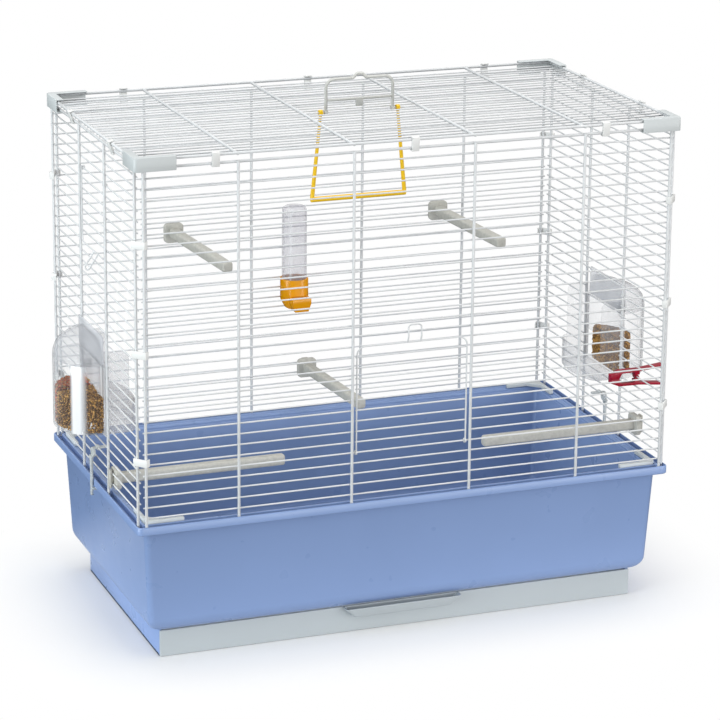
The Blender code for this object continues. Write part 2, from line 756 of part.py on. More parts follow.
def make_front_door():
    hinge_height = front_row(DOOR_FIRST_ROW - 1)
    top_height = front_row(DOOR_LAST_ROW)
    face = -THIN_Y - THIN_STEP
    foot = hinge_height + EYE_BORE
    corners = ((-DOOR_HALF_WIDTH, face, foot), (-DOOR_HALF_WIDTH, face, top_height),
               (DOOR_HALF_WIDTH, face, top_height), (DOOR_HALF_WIDTH, face, foot))
    bm = bmesh.new()
    tube(bm, bend(corners, DOOR_CORNER), THIN_R)
    door = piece("front_door", bm, COATED_WIRE, (0, -THIN_Y, hinge_height))

    bm = bmesh.new()
    end = DOOR_HALF_WIDTH + STUB
    for number in range(DOOR_FIRST_ROW, DOOR_LAST_ROW):
        height = front_row(number)
        rod(bm, (-end, -THIN_Y, height), (end, -THIN_Y, height), THIN_R, THIN_SIDES)
    join(door, "front_door_rows", bm)

    bm = bmesh.new()
    for x in (-DOOR_HALF_WIDTH, DOOR_HALF_WIDTH):
        eye(bm, (x, -THIN_Y, hinge_height), (1, 0, 0), DOOR_EYE_WIDTH)
    join(door, "front_door_eyes", bm)

    out = face - LOOP_STAND_OFF
    high = top_height + LOOP_HEIGHT
    low_bend = top_height + LOOP_HEIGHT / 3
    top_face = face - LOOP_TOP_OFF
    path = ((LOOP_LEFT, face, top_height), (LOOP_LEFT, out, low_bend),
            (LOOP_LEFT, top_face, high), (LOOP_RIGHT, top_face, high),
            (LOOP_RIGHT, out, low_bend), (LOOP_RIGHT, face, top_height))
    bm = bmesh.new()
    tube(bm, bend(path, LOOP_CORNER, 2), THIN_R)
    join(door, "front_door_loop", bm)
    return door


def make_flap_door():
    hinge_height = side_row(FLAP_LAST_ROW + 1)
    low = side_row(FLAP_FIRST_ROW)
    face = -THIN_X - THIN_STEP
    top = hinge_height - EYE_BORE
    corners = ((face, -FLAP_HALF_WIDTH, top), (face, -FLAP_HALF_WIDTH, low),
               (face, FLAP_HALF_WIDTH, low), (face, FLAP_HALF_WIDTH, top))
    bm = bmesh.new()
    tube(bm, bend(corners, FLAP_CORNER), THIN_R)
    door = piece("left_flap_door", bm, COATED_WIRE, (-THIN_X, 0, hinge_height))

    bm = bmesh.new()
    end = FLAP_HALF_WIDTH + STUB
    for number in range(FLAP_FIRST_ROW + 1, FLAP_LAST_ROW + 1):
        height = side_row(number)
        rod(bm, (-THIN_X, -end, height), (-THIN_X, end, height), THIN_R, THIN_SIDES)
    join(door, "left_flap_door_rows", bm)

    bm = bmesh.new()
    for y in (-FLAP_HALF_WIDTH, FLAP_HALF_WIDTH):
        eye(bm, (-THIN_X, y, hinge_height), (0, 1, 0), DOOR_EYE_WIDTH)
    join(door, "left_flap_door_eyes", bm)

    out = face - FLAP_LOOP_OUT
    drop = low - FLAP_LOOP_DROP
    left = FLAP_LOOP_PLACE - FLAP_LOOP_WIDTH / 2
    right = FLAP_LOOP_PLACE + FLAP_LOOP_WIDTH / 2
    path = ((face, left, low), (out, left, drop), (out, right, drop), (face, right, low))
    bm = bmesh.new()
    tube(bm, bend(path, LOOP_CORNER, 2), THIN_R)
    join(door, "left_flap_door_loop", bm)
    return door


# Corner caps, brackets and clips

def corner_outline(side_x, side_y, corner, length_x, length_y, width):
    """An L that starts at an outer corner and runs inward along both sides."""
    steps = ((0, 0), (length_x, 0), (length_x, width), (width, width), (width, length_y),
             (0, length_y))
    return [(side_x * (corner[0] - x), side_y * (corner[1] - y)) for x, y in steps]


def upright_plate(bm, outline, low, high):
    plate(bm, outline, high - low, frame_at((0, 0, (low + high) / 2), (0, 0, 1), (0, 1, 0)))


def make_cap(name, side_x, side_y):
    inner = (THICK_X + THICK_R + CAP_CLEAR, THICK_Y + THICK_R + CAP_CLEAR)
    outer = (inner[0] + CAP_WALL, inner[1] + CAP_WALL)
    cap_low = TOP_WIRE_HEIGHT - CAP_DROP
    cap_high = TOP_WIRE_HEIGHT + CAP_RISE
    bm = bmesh.new()
    upright_plate(bm, corner_outline(side_x, side_y, outer, CAP_LENGTH_X, CAP_LENGTH_Y,
                                     CAP_WIDTH), cap_low, cap_high)
    cap = piece(name, bm, GREY_PLASTIC)
    bm = bmesh.new()
    upright_plate(bm, corner_outline(side_x, side_y, inner, CAP_LENGTH_X + OVERRUN,
                                     CAP_LENGTH_Y + OVERRUN, CAP_WIDTH + OVERRUN),
                  cap_low + CAP_LIP, cap_high - CAP_PLATE)
    cut(cap, name + "_channel", bm)
    bm = bmesh.new()
    low = (side_x * (inner[0] - CAP_CORNER_CLEAR), side_y * (inner[1] - CAP_CORNER_CLEAR),
           cap_low - OVERRUN)
    high = (side_x * inner[0], side_y * inner[1], cap_low + CAP_LIP + OVERRUN)
    box(bm, low, high)
    cut(cap, name + "_corner_gap", bm)
    return cap


def make_bracket(name, side_x, side_y):
    """The bracket lies on the tray's ledge, against the ridge."""
    offset = LEDGE_OFFSET + GAP
    corner = (RIM_HALF_X - offset, RIM_HALF_Y - offset)
    cut_off = RIDGE_CORNER
    low = RIM_TOP - LEDGE_DROP + GAP
    gusset = BRACKET_WIDTH + BRACKET_GUSSET
    steps = ((cut_off, 0), (BRACKET_LENGTH, 0), (BRACKET_LENGTH, BRACKET_WIDTH),
             (gusset, BRACKET_WIDTH), (BRACKET_WIDTH, gusset), (BRACKET_WIDTH, BRACKET_LENGTH),
             (0, BRACKET_LENGTH), (0, cut_off))
    outline = [(side_x * (corner[0] - x), side_y * (corner[1] - y)) for x, y in steps]
    bm = bmesh.new()
    upright_plate(bm, outline, low, low + BRACKET_HEIGHT)
    return piece(name, bm, GREY_PLASTIC)


def make_clip(name, wire_a, wire_b, inside, along, prongs):
    """A clip over two wires that run along an axis; its spine is on the side away from inside.

    It has a prong beyond each wire, and a third one between them when it has three.
    """
    wire_a = Vector(wire_a)
    wire_b = Vector(wire_b)
    reach = (wire_b - wire_a).length
    u = (wire_b - wire_a).normalized()
    v = Vector(along).cross(u)
    if v.dot(Vector(inside) - wire_a) > 0:
        v = -v
    pocket = CLIP_POCKET
    end = pocket + CLIP_PRONG
    spine = pocket + CLIP_SPINE
    outline = [(-end, -CLIP_TIP), (-pocket, -CLIP_TIP), (-pocket, pocket)]
    if prongs == 3:
        outline += [(pocket, pocket), (pocket, CLIP_MIDDLE_TIP),
                    (reach - pocket, CLIP_MIDDLE_TIP), (reach - pocket, pocket)]
    outline += [(reach + pocket, pocket), (reach + pocket, -CLIP_TIP),
                (reach + end, -CLIP_TIP), (reach + end, spine), (-end, spine)]
    place = Matrix((u, v, u.cross(v))).transposed().to_4x4()
    bm = bmesh.new()
    plate(bm, outline, CLIP_WIDTH, Matrix.Translation(wire_a) @ place)
    return piece(name, bm, WHITE_PLASTIC)


def make_clips():
    middle = (0, 0, RAIL_HEIGHT)
    outer_place = UPRIGHT_OUTER + TOP_CLIP_STEP
    for side, face in ((-1, "front"), (1, "back")):
        for place, spot in ((-outer_place, "left"), (0, "middle"), (outer_place, "right")):
            make_clip("top_clip_%s_%s" % (face, spot), (place, side * RAIL_Y, RAIL_HEIGHT),
                      (place, side * TOP_RAIL_Y, TOP_RAIL_HEIGHT), middle, (1, 0, 0), 3)
    side_place = top_row(SIDE_CLIP_ROW) - PITCH / 2
    for side, face in ((-1, "left"), (1, "right")):
        for place, spot in ((-side_place, "front"), (side_place, "back")):
            make_clip("top_clip_%s_%s" % (face, spot), (side * RAIL_X, place, RAIL_HEIGHT),
                      (side * THICK_X, place, TOP_WIRE_HEIGHT), middle, (0, 1, 0), 3)
    high_row = SIDE_ROWS - CORNER_CLIP_ROWS_DOWN
    rows = (CORNER_CLIP_LOW_ROW, (CORNER_CLIP_LOW_ROW + high_row) // 2, high_row)
    for side_y, front_name in ((-1, "front"), (1, "back")):
        for side_x, side_name in ((-1, "left"), (1, "right")):
            for row, spot in zip(rows, ("low", "middle", "high")):
                height = side_row(row)
                make_clip("corner_clip_%s_%s_%s" % (front_name, side_name, spot),
                          (side_x * EDGE_UPRIGHT, side_y * THICK_Y, height),
                          (side_x * THICK_X, side_y * SIDE_EDGE, height),
                          (0, 0, height), (0, 0, 1), 2)


# Perches and drinker

def panel_hook(centre, out, up, name, item, depth):
    """A neck that passes between two thin wires and a plate that is turned behind them."""
    behind = THIN_R + GAP
    place = frame_at(centre, out, up)
    bm = bmesh.new()
    length = behind + depth + HOOK_THICK / 2
    plate(bm, chamfered(HOOK_WIDTH / 3, NECK_TALL / 2, HOOK_WIDTH / 8), length,
          place @ Matrix.Translation((0, 0, length / 2 - depth)))
    join(item, name + "_neck", bm)
    bm = bmesh.new()
    plate(bm, chamfered(HOOK_WIDTH / 2, HOOK_TALL / 2, HOOK_WIDTH / 4), HOOK_THICK,
          place @ Matrix.Translation((0, 0, behind + HOOK_THICK / 2)))
    join(item, name + "_plate", bm)


def make_perch(name, centre, out, length, lean_degrees=0):
    """The centre lies on the thin wires' plane, halfway between two of them."""
    out = Vector(out)
    centre = Vector(centre)
    face = centre - out * (THIN_R + GAP)
    inward = Matrix.Rotation(math.radians(lean_degrees), 3, "Z") @ -out
    tip = face + inward * length
    shoulder = tip - inward * PERCH_TIP
    radius = PERCH_DIAMETER / 2
    bm = bmesh.new()
    rod(bm, face + inward * (HEAD_THICK / 2), shoulder, radius, PERCH_SIDES)
    end = [vert for vert in bm.verts if (vert.co - shoulder).length < radius + WELD]
    cap = [face_ for face_ in bm.faces if all(vert in end for vert in face_.verts)]
    pushed = bmesh.ops.extrude_discrete_faces(bm, faces=cap)["faces"]
    ends = list({vert for face_ in pushed for vert in face_.verts})
    bmesh.ops.translate(bm, verts=ends, vec=inward * PERCH_TIP)
    bmesh.ops.scale(bm, verts=ends, vec=(0.5, 0.5, 0.5), space=Matrix.Translation(-tip))
    bmesh.ops.remove_doubles(bm, verts=bm.verts, dist=MERGE)
    perch = piece(name, bm, PERCH_PLASTIC)
    bm = bmesh.new()
    half = HEAD_SIZE / 2
    plate(bm, chamfered(half, half, HEAD_CHAMFER), HEAD_THICK,
          frame_at(face - out * (HEAD_THICK / 2), out, (0, 0, 1)))
    join(perch, name + "_head", bm)
    panel_hook(centre, out, (0, 0, 1), name, perch, HEAD_THICK / 3)
    return perch


def make_perches():
    upper = front_row(UPPER_PERCH_ROW) + PITCH / 2
    middle = front_row(MIDDLE_PERCH_ROW) + PITCH / 2
    make_perch("perch_upper_left", (UPPER_LEFT_PERCH_X, THIN_Y, upper), (0, 1, 0),
               UPPER_PERCH_LENGTH, PERCH_LEAN_DEGREES)
    make_perch("perch_upper_right", (UPPER_RIGHT_PERCH_X, THIN_Y, upper), (0, 1, 0),
               UPPER_PERCH_LENGTH, PERCH_LEAN_DEGREES)
    make_perch("perch_middle", (MIDDLE_PERCH_X, THIN_Y, middle), (0, 1, 0),
               MIDDLE_PERCH_LENGTH, PERCH_LEAN_DEGREES)
    left = side_row(LEFT_PERCH_ROW) - SIDE_PITCH / 2
    right = side_row(RIGHT_PERCH_ROW) - SIDE_PITCH / 2
    make_perch("perch_lower_left", (-THIN_X, LEFT_PERCH_Y, left), (-1, 0, 0), LEFT_PERCH_LENGTH)
    right_y = RIGHT_PERCH_INSET - SIDE_EDGE
    make_perch("perch_lower_right", (THIN_X, right_y, right), (1, 0, 0), RIGHT_PERCH_LENGTH)


def make_drinker():
    back = THIN_Y - THIN_R - GAP
    tube_radius = TUBE_DIAMETER / 2
    socket_radius = tube_radius + GAP
    half = CUP_WIDTH / 2
    middle = back - half
    hook_height = front_row(CUP_HOOK_ROW) + PITCH / 2
    cup_low = hook_height - CUP_HOOK_LIFT
    cup_top = cup_low + CUP_HEIGHT
    tube_low = cup_low + TUBE_LIFT
    tube_top = tube_low + TUBE_LENGTH
    seat = tube_low - CUP_SEAT

    def cup_block(inset, low, high):
        outline = round_rectangle(half - inset, half - inset, CUP_CORNER - inset, CORNER_STEPS,
                                  (DRINKER_X, middle))
        bm = bmesh.new()
        upright_plate(bm, outline, low, high)
        return bm

    cup = piece("drinker_cup", cup_block(0, cup_low, cup_top), ORANGE_PLASTIC)
    spout_half = SPOUT_WIDTH / 2
    front = middle - half
    bm = bmesh.new()
    box(bm, (DRINKER_X - spout_half, front - SPOUT_REACH, cup_low),
        (DRINKER_X + spout_half, front + CUP_WALL, cup_low + SPOUT_HEIGHT))
    join(cup, "drinker_spout", bm)
    bm = bmesh.new()
    rod(bm, (DRINKER_X, middle, tube_low - GAP), (DRINKER_X, middle, cup_top + OVERRUN),
        socket_radius, TUBE_SIDES)
    cut(cup, "drinker_socket", bm)
    bm = bmesh.new()
    rod(bm, (DRINKER_X, middle, cup_low + CUP_WALL), (DRINKER_X, middle, seat + CUP_SEAT),
        tube_radius - 2 * TUBE_WALL, TUBE_SIDES)
    cut(cup, "drinker_well", bm)
    bm = bmesh.new()
    trough_top = cup_low + SPOUT_HEIGHT
    box(bm, (DRINKER_X - spout_half + CUP_WALL, front - SPOUT_REACH + CUP_WALL,
             cup_low + CUP_WALL), (DRINKER_X + spout_half - CUP_WALL, front - MERGE,
                                   trough_top + OVERRUN))
    cut(cup, "drinker_trough", bm)
    bm = bmesh.new()
    box(bm, (DRINKER_X - spout_half + CUP_WALL, front - SPOUT_REACH / 2, cup_low + CUP_WALL),
        (DRINKER_X + spout_half - CUP_WALL, middle, trough_top - CUP_WALL))
    cut(cup, "drinker_gate", bm)
    panel_hook((DRINKER_X, THIN_Y, hook_height), (0, 1, 0), (0, 0, 1), "drinker_hook", cup,
               THIN_R + GAP + CUP_WALL / 2)

    profile = ((0, tube_top), (tube_radius - TUBE_DOME, tube_top),
               (tube_radius - TUBE_DOME / 3, tube_top - TUBE_DOME / 3),
               (tube_radius, tube_top - TUBE_DOME), (tube_radius, tube_low),
               (tube_radius - TUBE_WALL, tube_low),
               (tube_radius - TUBE_WALL, tube_top - TUBE_DOME),
               (tube_radius - TUBE_DOME / 3 - TUBE_WALL, tube_top - TUBE_DOME / 3 - TUBE_WALL),
               (tube_radius - TUBE_DOME, tube_top - TUBE_WALL), (0, tube_top - TUBE_WALL))
    mesh = bpy.data.meshes.new("drinker_tube")
    points = [(radius, 0, height - tube_low) for radius, height in profile]
    mesh.from_pydata(points, [(index, index + 1) for index in range(len(points) - 1)], [])
    bottle = bpy.data.objects.new("drinker_tube", mesh)
    bottle.location = (DRINKER_X, middle, tube_low)
    CAGE.objects.link(bottle)
    mesh.materials.append(CLEAR_PLASTIC)
    turn = bottle.modifiers.new("turn", "SCREW")
    turn.steps = TUBE_SIDES
    turn.render_steps = TUBE_SIDES
    turn.use_merge_vertices = True
    turn.merge_threshold = MERGE
    turn.use_smooth_shade = True
    return cup, bottle


# Feeders

def half_round(inset, depth, half_width, face, side=1):
    """A half ellipse that starts at a face and bulges along X, counter-clockwise."""
    points = []
    for step in range(HOPPER_STEPS + 1):
        angle = -math.pi / 2 + math.pi * step / HOPPER_STEPS
        points.append((face + side * (depth - inset) * math.cos(angle),
                       (half_width - inset) * math.sin(angle)))
    return points


def feeder_low():
    return side_row(FEEDER_FIRST_ROW - 1) + THIN_R + FEEDER_LIFT


def make_feeder():
    low = feeder_low()
    floor = low + FEEDER_WALL
    hopper_top = low + HOPPER_HEIGHT
    guard_top = low + GUARD_HEIGHT
    neck_half = SIDE_UPRIGHT - THICK_R - GAP
    guard_x = PANEL_FACE - GUARD_REACH
    cup_top = low + CUP_LIP_HEIGHT
    root = PANEL_FACE + FEEDER_WALL / 2
    gate_top = low + SEED_GATE

    bm = bmesh.new()
    upright_plate(bm, half_round(0, HOPPER_DEPTH, HOPPER_HALF_WIDTH, PANEL_FACE), low, hopper_top)
    body = piece("feeder_right", bm, CLEAR_PLASTIC)
    bm = bmesh.new()
    box(bm, (guard_x, -neck_half, low), (root, neck_half, guard_top))
    join(body, "feeder_guard", bm)
    bm = bmesh.new()
    outline = half_round(0, CUP_LIP_REACH, neck_half, guard_x + WELD, -1)
    upright_plate(bm, outline, low, cup_top)
    join(body, "feeder_cup", bm)

    bm = bmesh.new()
    upright_plate(bm, half_round(FEEDER_WALL, HOPPER_DEPTH, HOPPER_HALF_WIDTH, PANEL_FACE),
                  floor, hopper_top + OVERRUN)
    cut(body, "feeder_hopper_room", bm)
    bm = bmesh.new()
    inner_half = neck_half - FEEDER_WALL
    box(bm, (guard_x, -inner_half, floor), (root + FEEDER_WALL, inner_half, guard_top + OVERRUN))
    cut(body, "feeder_guard_room", bm)
    bm = bmesh.new()
    box(bm, (guard_x - CUP_LIP_REACH - OVERRUN, -inner_half, cup_top),
        (guard_x + OVERRUN, inner_half, guard_top + OVERRUN))
    cut(body, "feeder_guard_front", bm)
    bm = bmesh.new()
    outline = half_round(FEEDER_WALL, CUP_LIP_REACH, neck_half, guard_x + OVERRUN / 2, -1)
    upright_plate(bm, outline, floor, cup_top + OVERRUN)
    cut(body, "feeder_cup_room", bm)

    bm = bmesh.new()
    wall_x = PANEL_FACE + DIVIDER_WALL
    box(bm, (PANEL_FACE, -inner_half - FEEDER_WALL / 2, gate_top),
        (wall_x, inner_half + FEEDER_WALL / 2, hopper_top))
    join(body, "feeder_front_wall", bm)
    bm = bmesh.new()
    end_x = PANEL_FACE + HOPPER_DEPTH - FEEDER_WALL / 2
    box(bm, (PANEL_FACE + DIVIDER_WALL / 2, -DIVIDER_WALL / 2, floor - FEEDER_WALL / 2),
        (end_x, DIVIDER_WALL / 2, hopper_top - DIVIDER_DROP))
    join(body, "feeder_divider", bm)
    return body


def lid_block(inset, face, drop):
    """Half ellipses that shrink towards the panel as they rise, from a drop below the lid's foot."""
    foot = feeder_low() + HOPPER_HEIGHT + GAP
    rise = LID_RISE - inset
    rings = []
    for in_share, narrow_share, rise_share in zip(LID_DEPTH_SHARES, LID_WIDTH_SHARES,
                                                  LID_RISE_SHARES):
        depth = HOPPER_DEPTH * (1 - in_share) - (face - PANEL_FACE)
        half_width = HOPPER_HALF_WIDTH * (1 - narrow_share)
        outline = half_round(inset, depth, half_width, face)
        rings.append([(*point, foot + rise * rise_share) for point in outline])
    if drop:
        rings.insert(0, [(x, y, foot - drop) for x, y, _ in rings[0]])
    bm = bmesh.new()
    loft(bm, rings)
    return bm


def make_lid():
    face = PANEL_FACE + FEEDER_WALL / 2 + GAP
    foot = feeder_low() + HOPPER_HEIGHT + GAP
    lid = piece("feeder_lid_right", lid_block(0, face, 0), CLEAR_PLASTIC,
                (face, 0, foot + LID_RISE - FEEDER_WALL))
    bm = bmesh.new()
    box(bm, (face + WELD / 2, -LID_FLANGE_HALF, foot + WELD),
        (face + WELD / 2 + FEEDER_WALL, LID_FLANGE_HALF, foot + LID_RISE + WELD))
    join(lid, "feeder_lid_flange", bm)
    cut(lid, "feeder_lid_room", lid_block(FEEDER_WALL, face + FEEDER_WALL + WELD, FEEDER_WALL))
    return lid


# Latches

def make_latch():
    """The right-hand latch; it turns on a thin wire of the side panel."""
    pivot_height = side_row(LATCH_ROW)
    head_x = PANEL_FACE
    head_out = head_x + LATCH_HEAD_THICK
    arm_x = RIM_HALF_X + LATCH_ARM_CLEAR
    arm_out = arm_x + LATCH_ARM_THICK
    hook_top = RIM_UNDERSIDE - LATCH_HOOK_GAP
    head_top = pivot_height + LATCH_HEAD_HIGH
    head_low = pivot_height - LATCH_HEAD_LOW
    arm_half = LATCH_ARM_WIDTH / 2
    eye_half = LATCH_EYE_WIDTH / 2

    bm = bmesh.new()
    centre = ((head_x + head_out) / 2, 0, (head_top + head_low) / 2)
    outline = chamfered(LATCH_HEAD_WIDTH / 2, (head_top - head_low) / 2, LATCH_HEAD_CHAMFER)
    plate(bm, outline, LATCH_HEAD_THICK, frame_at(centre, (1, 0, 0), (0, 0, 1)))
    latch = piece("latch_right", bm, GREY_PLASTIC, (THIN_X, 0, pivot_height))
    bm = bmesh.new()
    box(bm, (arm_x, -arm_half, hook_top - LATCH_TAIL),
        (arm_out, arm_half, head_low + LATCH_HEAD_CHAMFER))
    join(latch, "latch_arm", bm)
    bm = bmesh.new()
    box(bm, (RIM_HALF_X - LATCH_HOOK_REACH, -arm_half + WELD, hook_top - LATCH_HOOK_THICK),
        (arm_x + LATCH_ARM_THICK / 2, arm_half - WELD, hook_top))
    join(latch, "latch_hook", bm)
    bm = bmesh.new()
    eye(bm, (THIN_X, 0, pivot_height), (0, 1, 0), LATCH_EYE_WIDTH)
    join(latch, "latch_eye", bm)
    bm = bmesh.new()
    bridge = EYE_WALL / 2
    box(bm, (THIN_X + EYE_BORE + bridge, -eye_half + WELD, pivot_height - bridge),
        (head_x + LATCH_HEAD_THICK / 2, eye_half - WELD, pivot_height + bridge))
    join(latch, "latch_bridge", bm)
    bm = bmesh.new()
    tongue = LATCH_TONGUE_THICK / 2
    box(bm, (THIN_X - EYE_OUTER - LATCH_TONGUE, -eye_half + 2 * WELD, pivot_height - tongue),
        (THIN_X - EYE_BORE - bridge, eye_half - 2 * WELD, pivot_height + tongue))
    join(latch, "latch_tongue", bm)
    return latch


# Swing and carrying handle

def make_swing():
    y = top_row(0)
    top = TOP_THIN_HEIGHT - EYE_BORE - SWING_EYE_WALL / 2
    low = TOP_THIN_HEIGHT - SWING_DROP + SWING_BAR / 2
    ends = ((-SWING_TOP_SPAN / 2, top), (-SWING_LOW_SPAN / 2, low),
            (SWING_LOW_SPAN / 2, low), (SWING_TOP_SPAN / 2, top))
    bm = bmesh.new()
    tube(bm, bend([(x, y, z) for x, z in ends], SWING_BAR / 2, 2), SWING_ARM / 2)
    swing = piece("swing", bm, YELLOW_PLASTIC, (0, y, TOP_THIN_HEIGHT))
    bm = bmesh.new()
    half = SWING_LOW_SPAN / 2
    rod(bm, (-half, y, low), (half, y, low), SWING_BAR / 2, SWING_SIDES)
    join(swing, "swing_bar", bm)
    bm = bmesh.new()
    for side in (-1, 1):
        eye(bm, (side * SWING_TOP_SPAN / 2, y, TOP_THIN_HEIGHT), (1, 0, 0),
            SWING_EYE_WIDTH, SWING_EYE_WALL)
    join(swing, "swing_eyes", bm)
    return swing


def make_carry_handle():
    y = top_row(0)
    half = HANDLE_SPAN / 2
    foot = TOP_THIN_HEIGHT + EYE_BORE + EYE_WALL / 2
    bar = TOP_WIRE_HEIGHT + HANDLE_BAR_RISE
    crossbar = TOP_WIRE_HEIGHT + HANDLE_CROSSBAR_RISE
    tab_low = TOP_WIRE_HEIGHT + HANDLE_TAB_RISE
    hump = bar + HANDLE_HUMP
    sides = ((-half, foot), (-half, bar), (-HANDLE_HUMP_HALF, bar),
             (-HANDLE_HUMP_TOP_HALF, hump), (HANDLE_HUMP_TOP_HALF, hump),
             (HANDLE_HUMP_HALF, bar), (half, bar), (half, foot))
    points = [Vector((x, y, z)) for x, z in sides]
    path = bend(points[:3], HANDLE_BEND)[:-1]
    path += bend(points[1:7], HANDLE_HUMP_TOP_HALF / 2, 2)[1:-1]
    path += bend(points[5:], HANDLE_BEND)[1:]
    bm = bmesh.new()
    tube(bm, path, HANDLE_ROD / 2, 2)
    handle = piece("carry_handle", bm, HANDLE_PLASTIC, (0, y, TOP_THIN_HEIGHT))
    bm = bmesh.new()
    rod(bm, (-half, y, crossbar), (half, y, crossbar), HANDLE_ROD / 2 - WELD, SWING_SIDES)
    join(handle, "carry_handle_crossbar", bm)
    bm = bmesh.new()
    box(bm, (-HANDLE_TAB_WIDTH / 2, y - HANDLE_TAB_THICK / 2, tab_low),
        (HANDLE_TAB_WIDTH / 2, y + HANDLE_TAB_THICK / 2, crossbar))
    join(handle, "carry_handle_tab", bm)
    bm = bmesh.new()
    for side in (-1, 1):
        eye(bm, (side * half, y, TOP_THIN_HEIGHT), (1, 0, 0), HANDLE_EYE_WIDTH)
    join(handle, "carry_handle_eyes", bm)
    return handle


# Food clip

def make_clip_jaw(name, side):
    """One jaw; the side is 1 for the upper one and -1 for the lower one."""
    pivot = Vector((THIN_X, FOOD_CLIP_Y, side_row(CLIP_ROW)))
    arm = FOOD_CLIP_ARM
    half = FOOD_CLIP_HALF
    nose = -FOOD_CLIP_NOSE
    nose_end = nose + FOOD_CLIP_NOSE_LENGTH
    tail = FOOD_CLIP_TAIL
    tail_half = FOOD_CLIP_TAIL_HALF
    hub = FOOD_CLIP_HUB
    outline = ((nose, GAP / 2), (nose_end, GAP / 2), (nose_end + hub, half - arm - WELD),
               (-hub, half - arm), (-hub, GAP + EYE_BORE), (hub, GAP + EYE_BORE),
               (hub, half - arm + WELD), (tail, tail_half - arm), (tail, tail_half),
               (hub, half), (nose_end, half - WELD), (nose, FOOD_CLIP_NOSE_HALF))
    bm = bmesh.new()
    place = Matrix.Translation(pivot) @ Matrix(((1, 0, 0, 0), (0, 0, 1, 0), (0, side, 0, 0),
                                                (0, 0, 0, 1)))
    plate(bm, outline, FOOD_CLIP_WIDTH, place)
    jaw = piece(name, bm, RED_PLASTIC, pivot)
    room = EYE_OUTER + GAP
    width = FOOD_CLIP_WIDTH / 2 - GAP - 2 * WELD
    shift = side * FOOD_CLIP_WIDTH / 4
    bm = bmesh.new()
    near = pivot.y - side * GAP / 2
    far = pivot.y - side * (FOOD_CLIP_WIDTH / 2 + OVERRUN)
    box(bm, (pivot.x - room - GAP, near, pivot.z - room),
        (pivot.x + room + GAP, far, pivot.z + room))
    cut(jaw, name + "_hub_room", bm)
    bm = bmesh.new()
    eye(bm, (pivot.x, pivot.y + shift, pivot.z), (0, 1, 0), width)
    join(jaw, name + "_eye", bm)
    return jaw


def make_all():
    make_tray()
    make_drawer()
    door_rows = range(DOOR_FIRST_ROW, DOOR_LAST_ROW + 1)
    feeder_rows = tuple(range(FEEDER_FIRST_ROW, FEEDER_LAST_ROW + 1))
    flap_rows = tuple(range(FLAP_FIRST_ROW, FLAP_LAST_ROW + 1))
    make_front_or_back("front_panel", -1, door_rows)
    make_front_or_back("back_panel", 1, ())
    make_side("left_panel", -1, feeder_rows + flap_rows)
    make_side("right_panel", 1, feeder_rows)
    make_top()
    make_front_door()
    make_flap_door()
    for side_y, front_name in ((-1, "front"), (1, "back")):
        for side_x, side_name in ((-1, "left"), (1, "right")):
            make_cap("top_cap_%s_%s" % (front_name, side_name), side_x, side_y)
            make_bracket("foot_bracket_%s_%s" % (front_name, side_name), side_x, side_y)
    make_clips()
    make_perches()
    make_drinker()
    mirrored(make_feeder(), "feeder_left", CLEAR_PLASTIC)
    mirrored(make_lid(), "feeder_lid_left", CLEAR_PLASTIC)
    mirrored(make_latch(), "latch_left", GREY_PLASTIC)
    make_swing()
    make_carry_handle()
    make_clip_jaw("food_clip_upper_jaw", 1)
    make_clip_jaw("food_clip_lower_jaw", -1)


make_all()
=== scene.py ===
"""Looks of the wire bird cage: its mouldings, wires, clear feeders, materials, light and camera."""

import random
from math import copysign, cos, pi, radians, sin, sqrt, tan, tau

import bmesh
import bpy
from mathutils import Matrix, Vector


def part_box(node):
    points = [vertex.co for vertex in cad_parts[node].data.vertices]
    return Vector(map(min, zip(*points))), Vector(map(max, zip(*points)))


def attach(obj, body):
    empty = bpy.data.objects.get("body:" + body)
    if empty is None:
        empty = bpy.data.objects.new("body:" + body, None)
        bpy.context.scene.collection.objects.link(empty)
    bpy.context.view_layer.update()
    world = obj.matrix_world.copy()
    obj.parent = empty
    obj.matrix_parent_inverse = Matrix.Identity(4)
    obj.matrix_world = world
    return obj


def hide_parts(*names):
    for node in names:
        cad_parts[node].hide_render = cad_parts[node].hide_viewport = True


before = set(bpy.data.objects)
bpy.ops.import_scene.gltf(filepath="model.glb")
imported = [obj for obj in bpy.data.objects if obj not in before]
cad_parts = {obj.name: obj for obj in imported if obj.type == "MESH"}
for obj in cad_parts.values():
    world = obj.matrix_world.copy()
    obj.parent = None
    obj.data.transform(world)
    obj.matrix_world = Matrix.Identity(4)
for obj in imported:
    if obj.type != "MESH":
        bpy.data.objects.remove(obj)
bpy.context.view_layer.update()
random.seed(11)

# Camera, fitted to the photograph
CAMERA_PLACE = (-1.1149, -2.9154, 1.2172)
CAMERA_YAW = 20.549
CAMERA_PITCH = 16.064
CAMERA_ROLL = 0.438
CAMERA_FOCAL_PIXELS = 2987.6
CAMERA_AXIS_PIXEL = (338.4, 305.9)
IMAGE_PIXELS = 720
SENSOR = 36

# What all pieces share
BODY = "cage"
UP = Vector((0, 0, 1))
MERGE = 0.00001
SMOOTH_ANGLE = 40
FLAT_ANGLE = 1
SHARP_ANGLE = 30
TINY_EDGE = 0.0003
EDGE = 0.0004
SOFT_EDGE = 0.0005

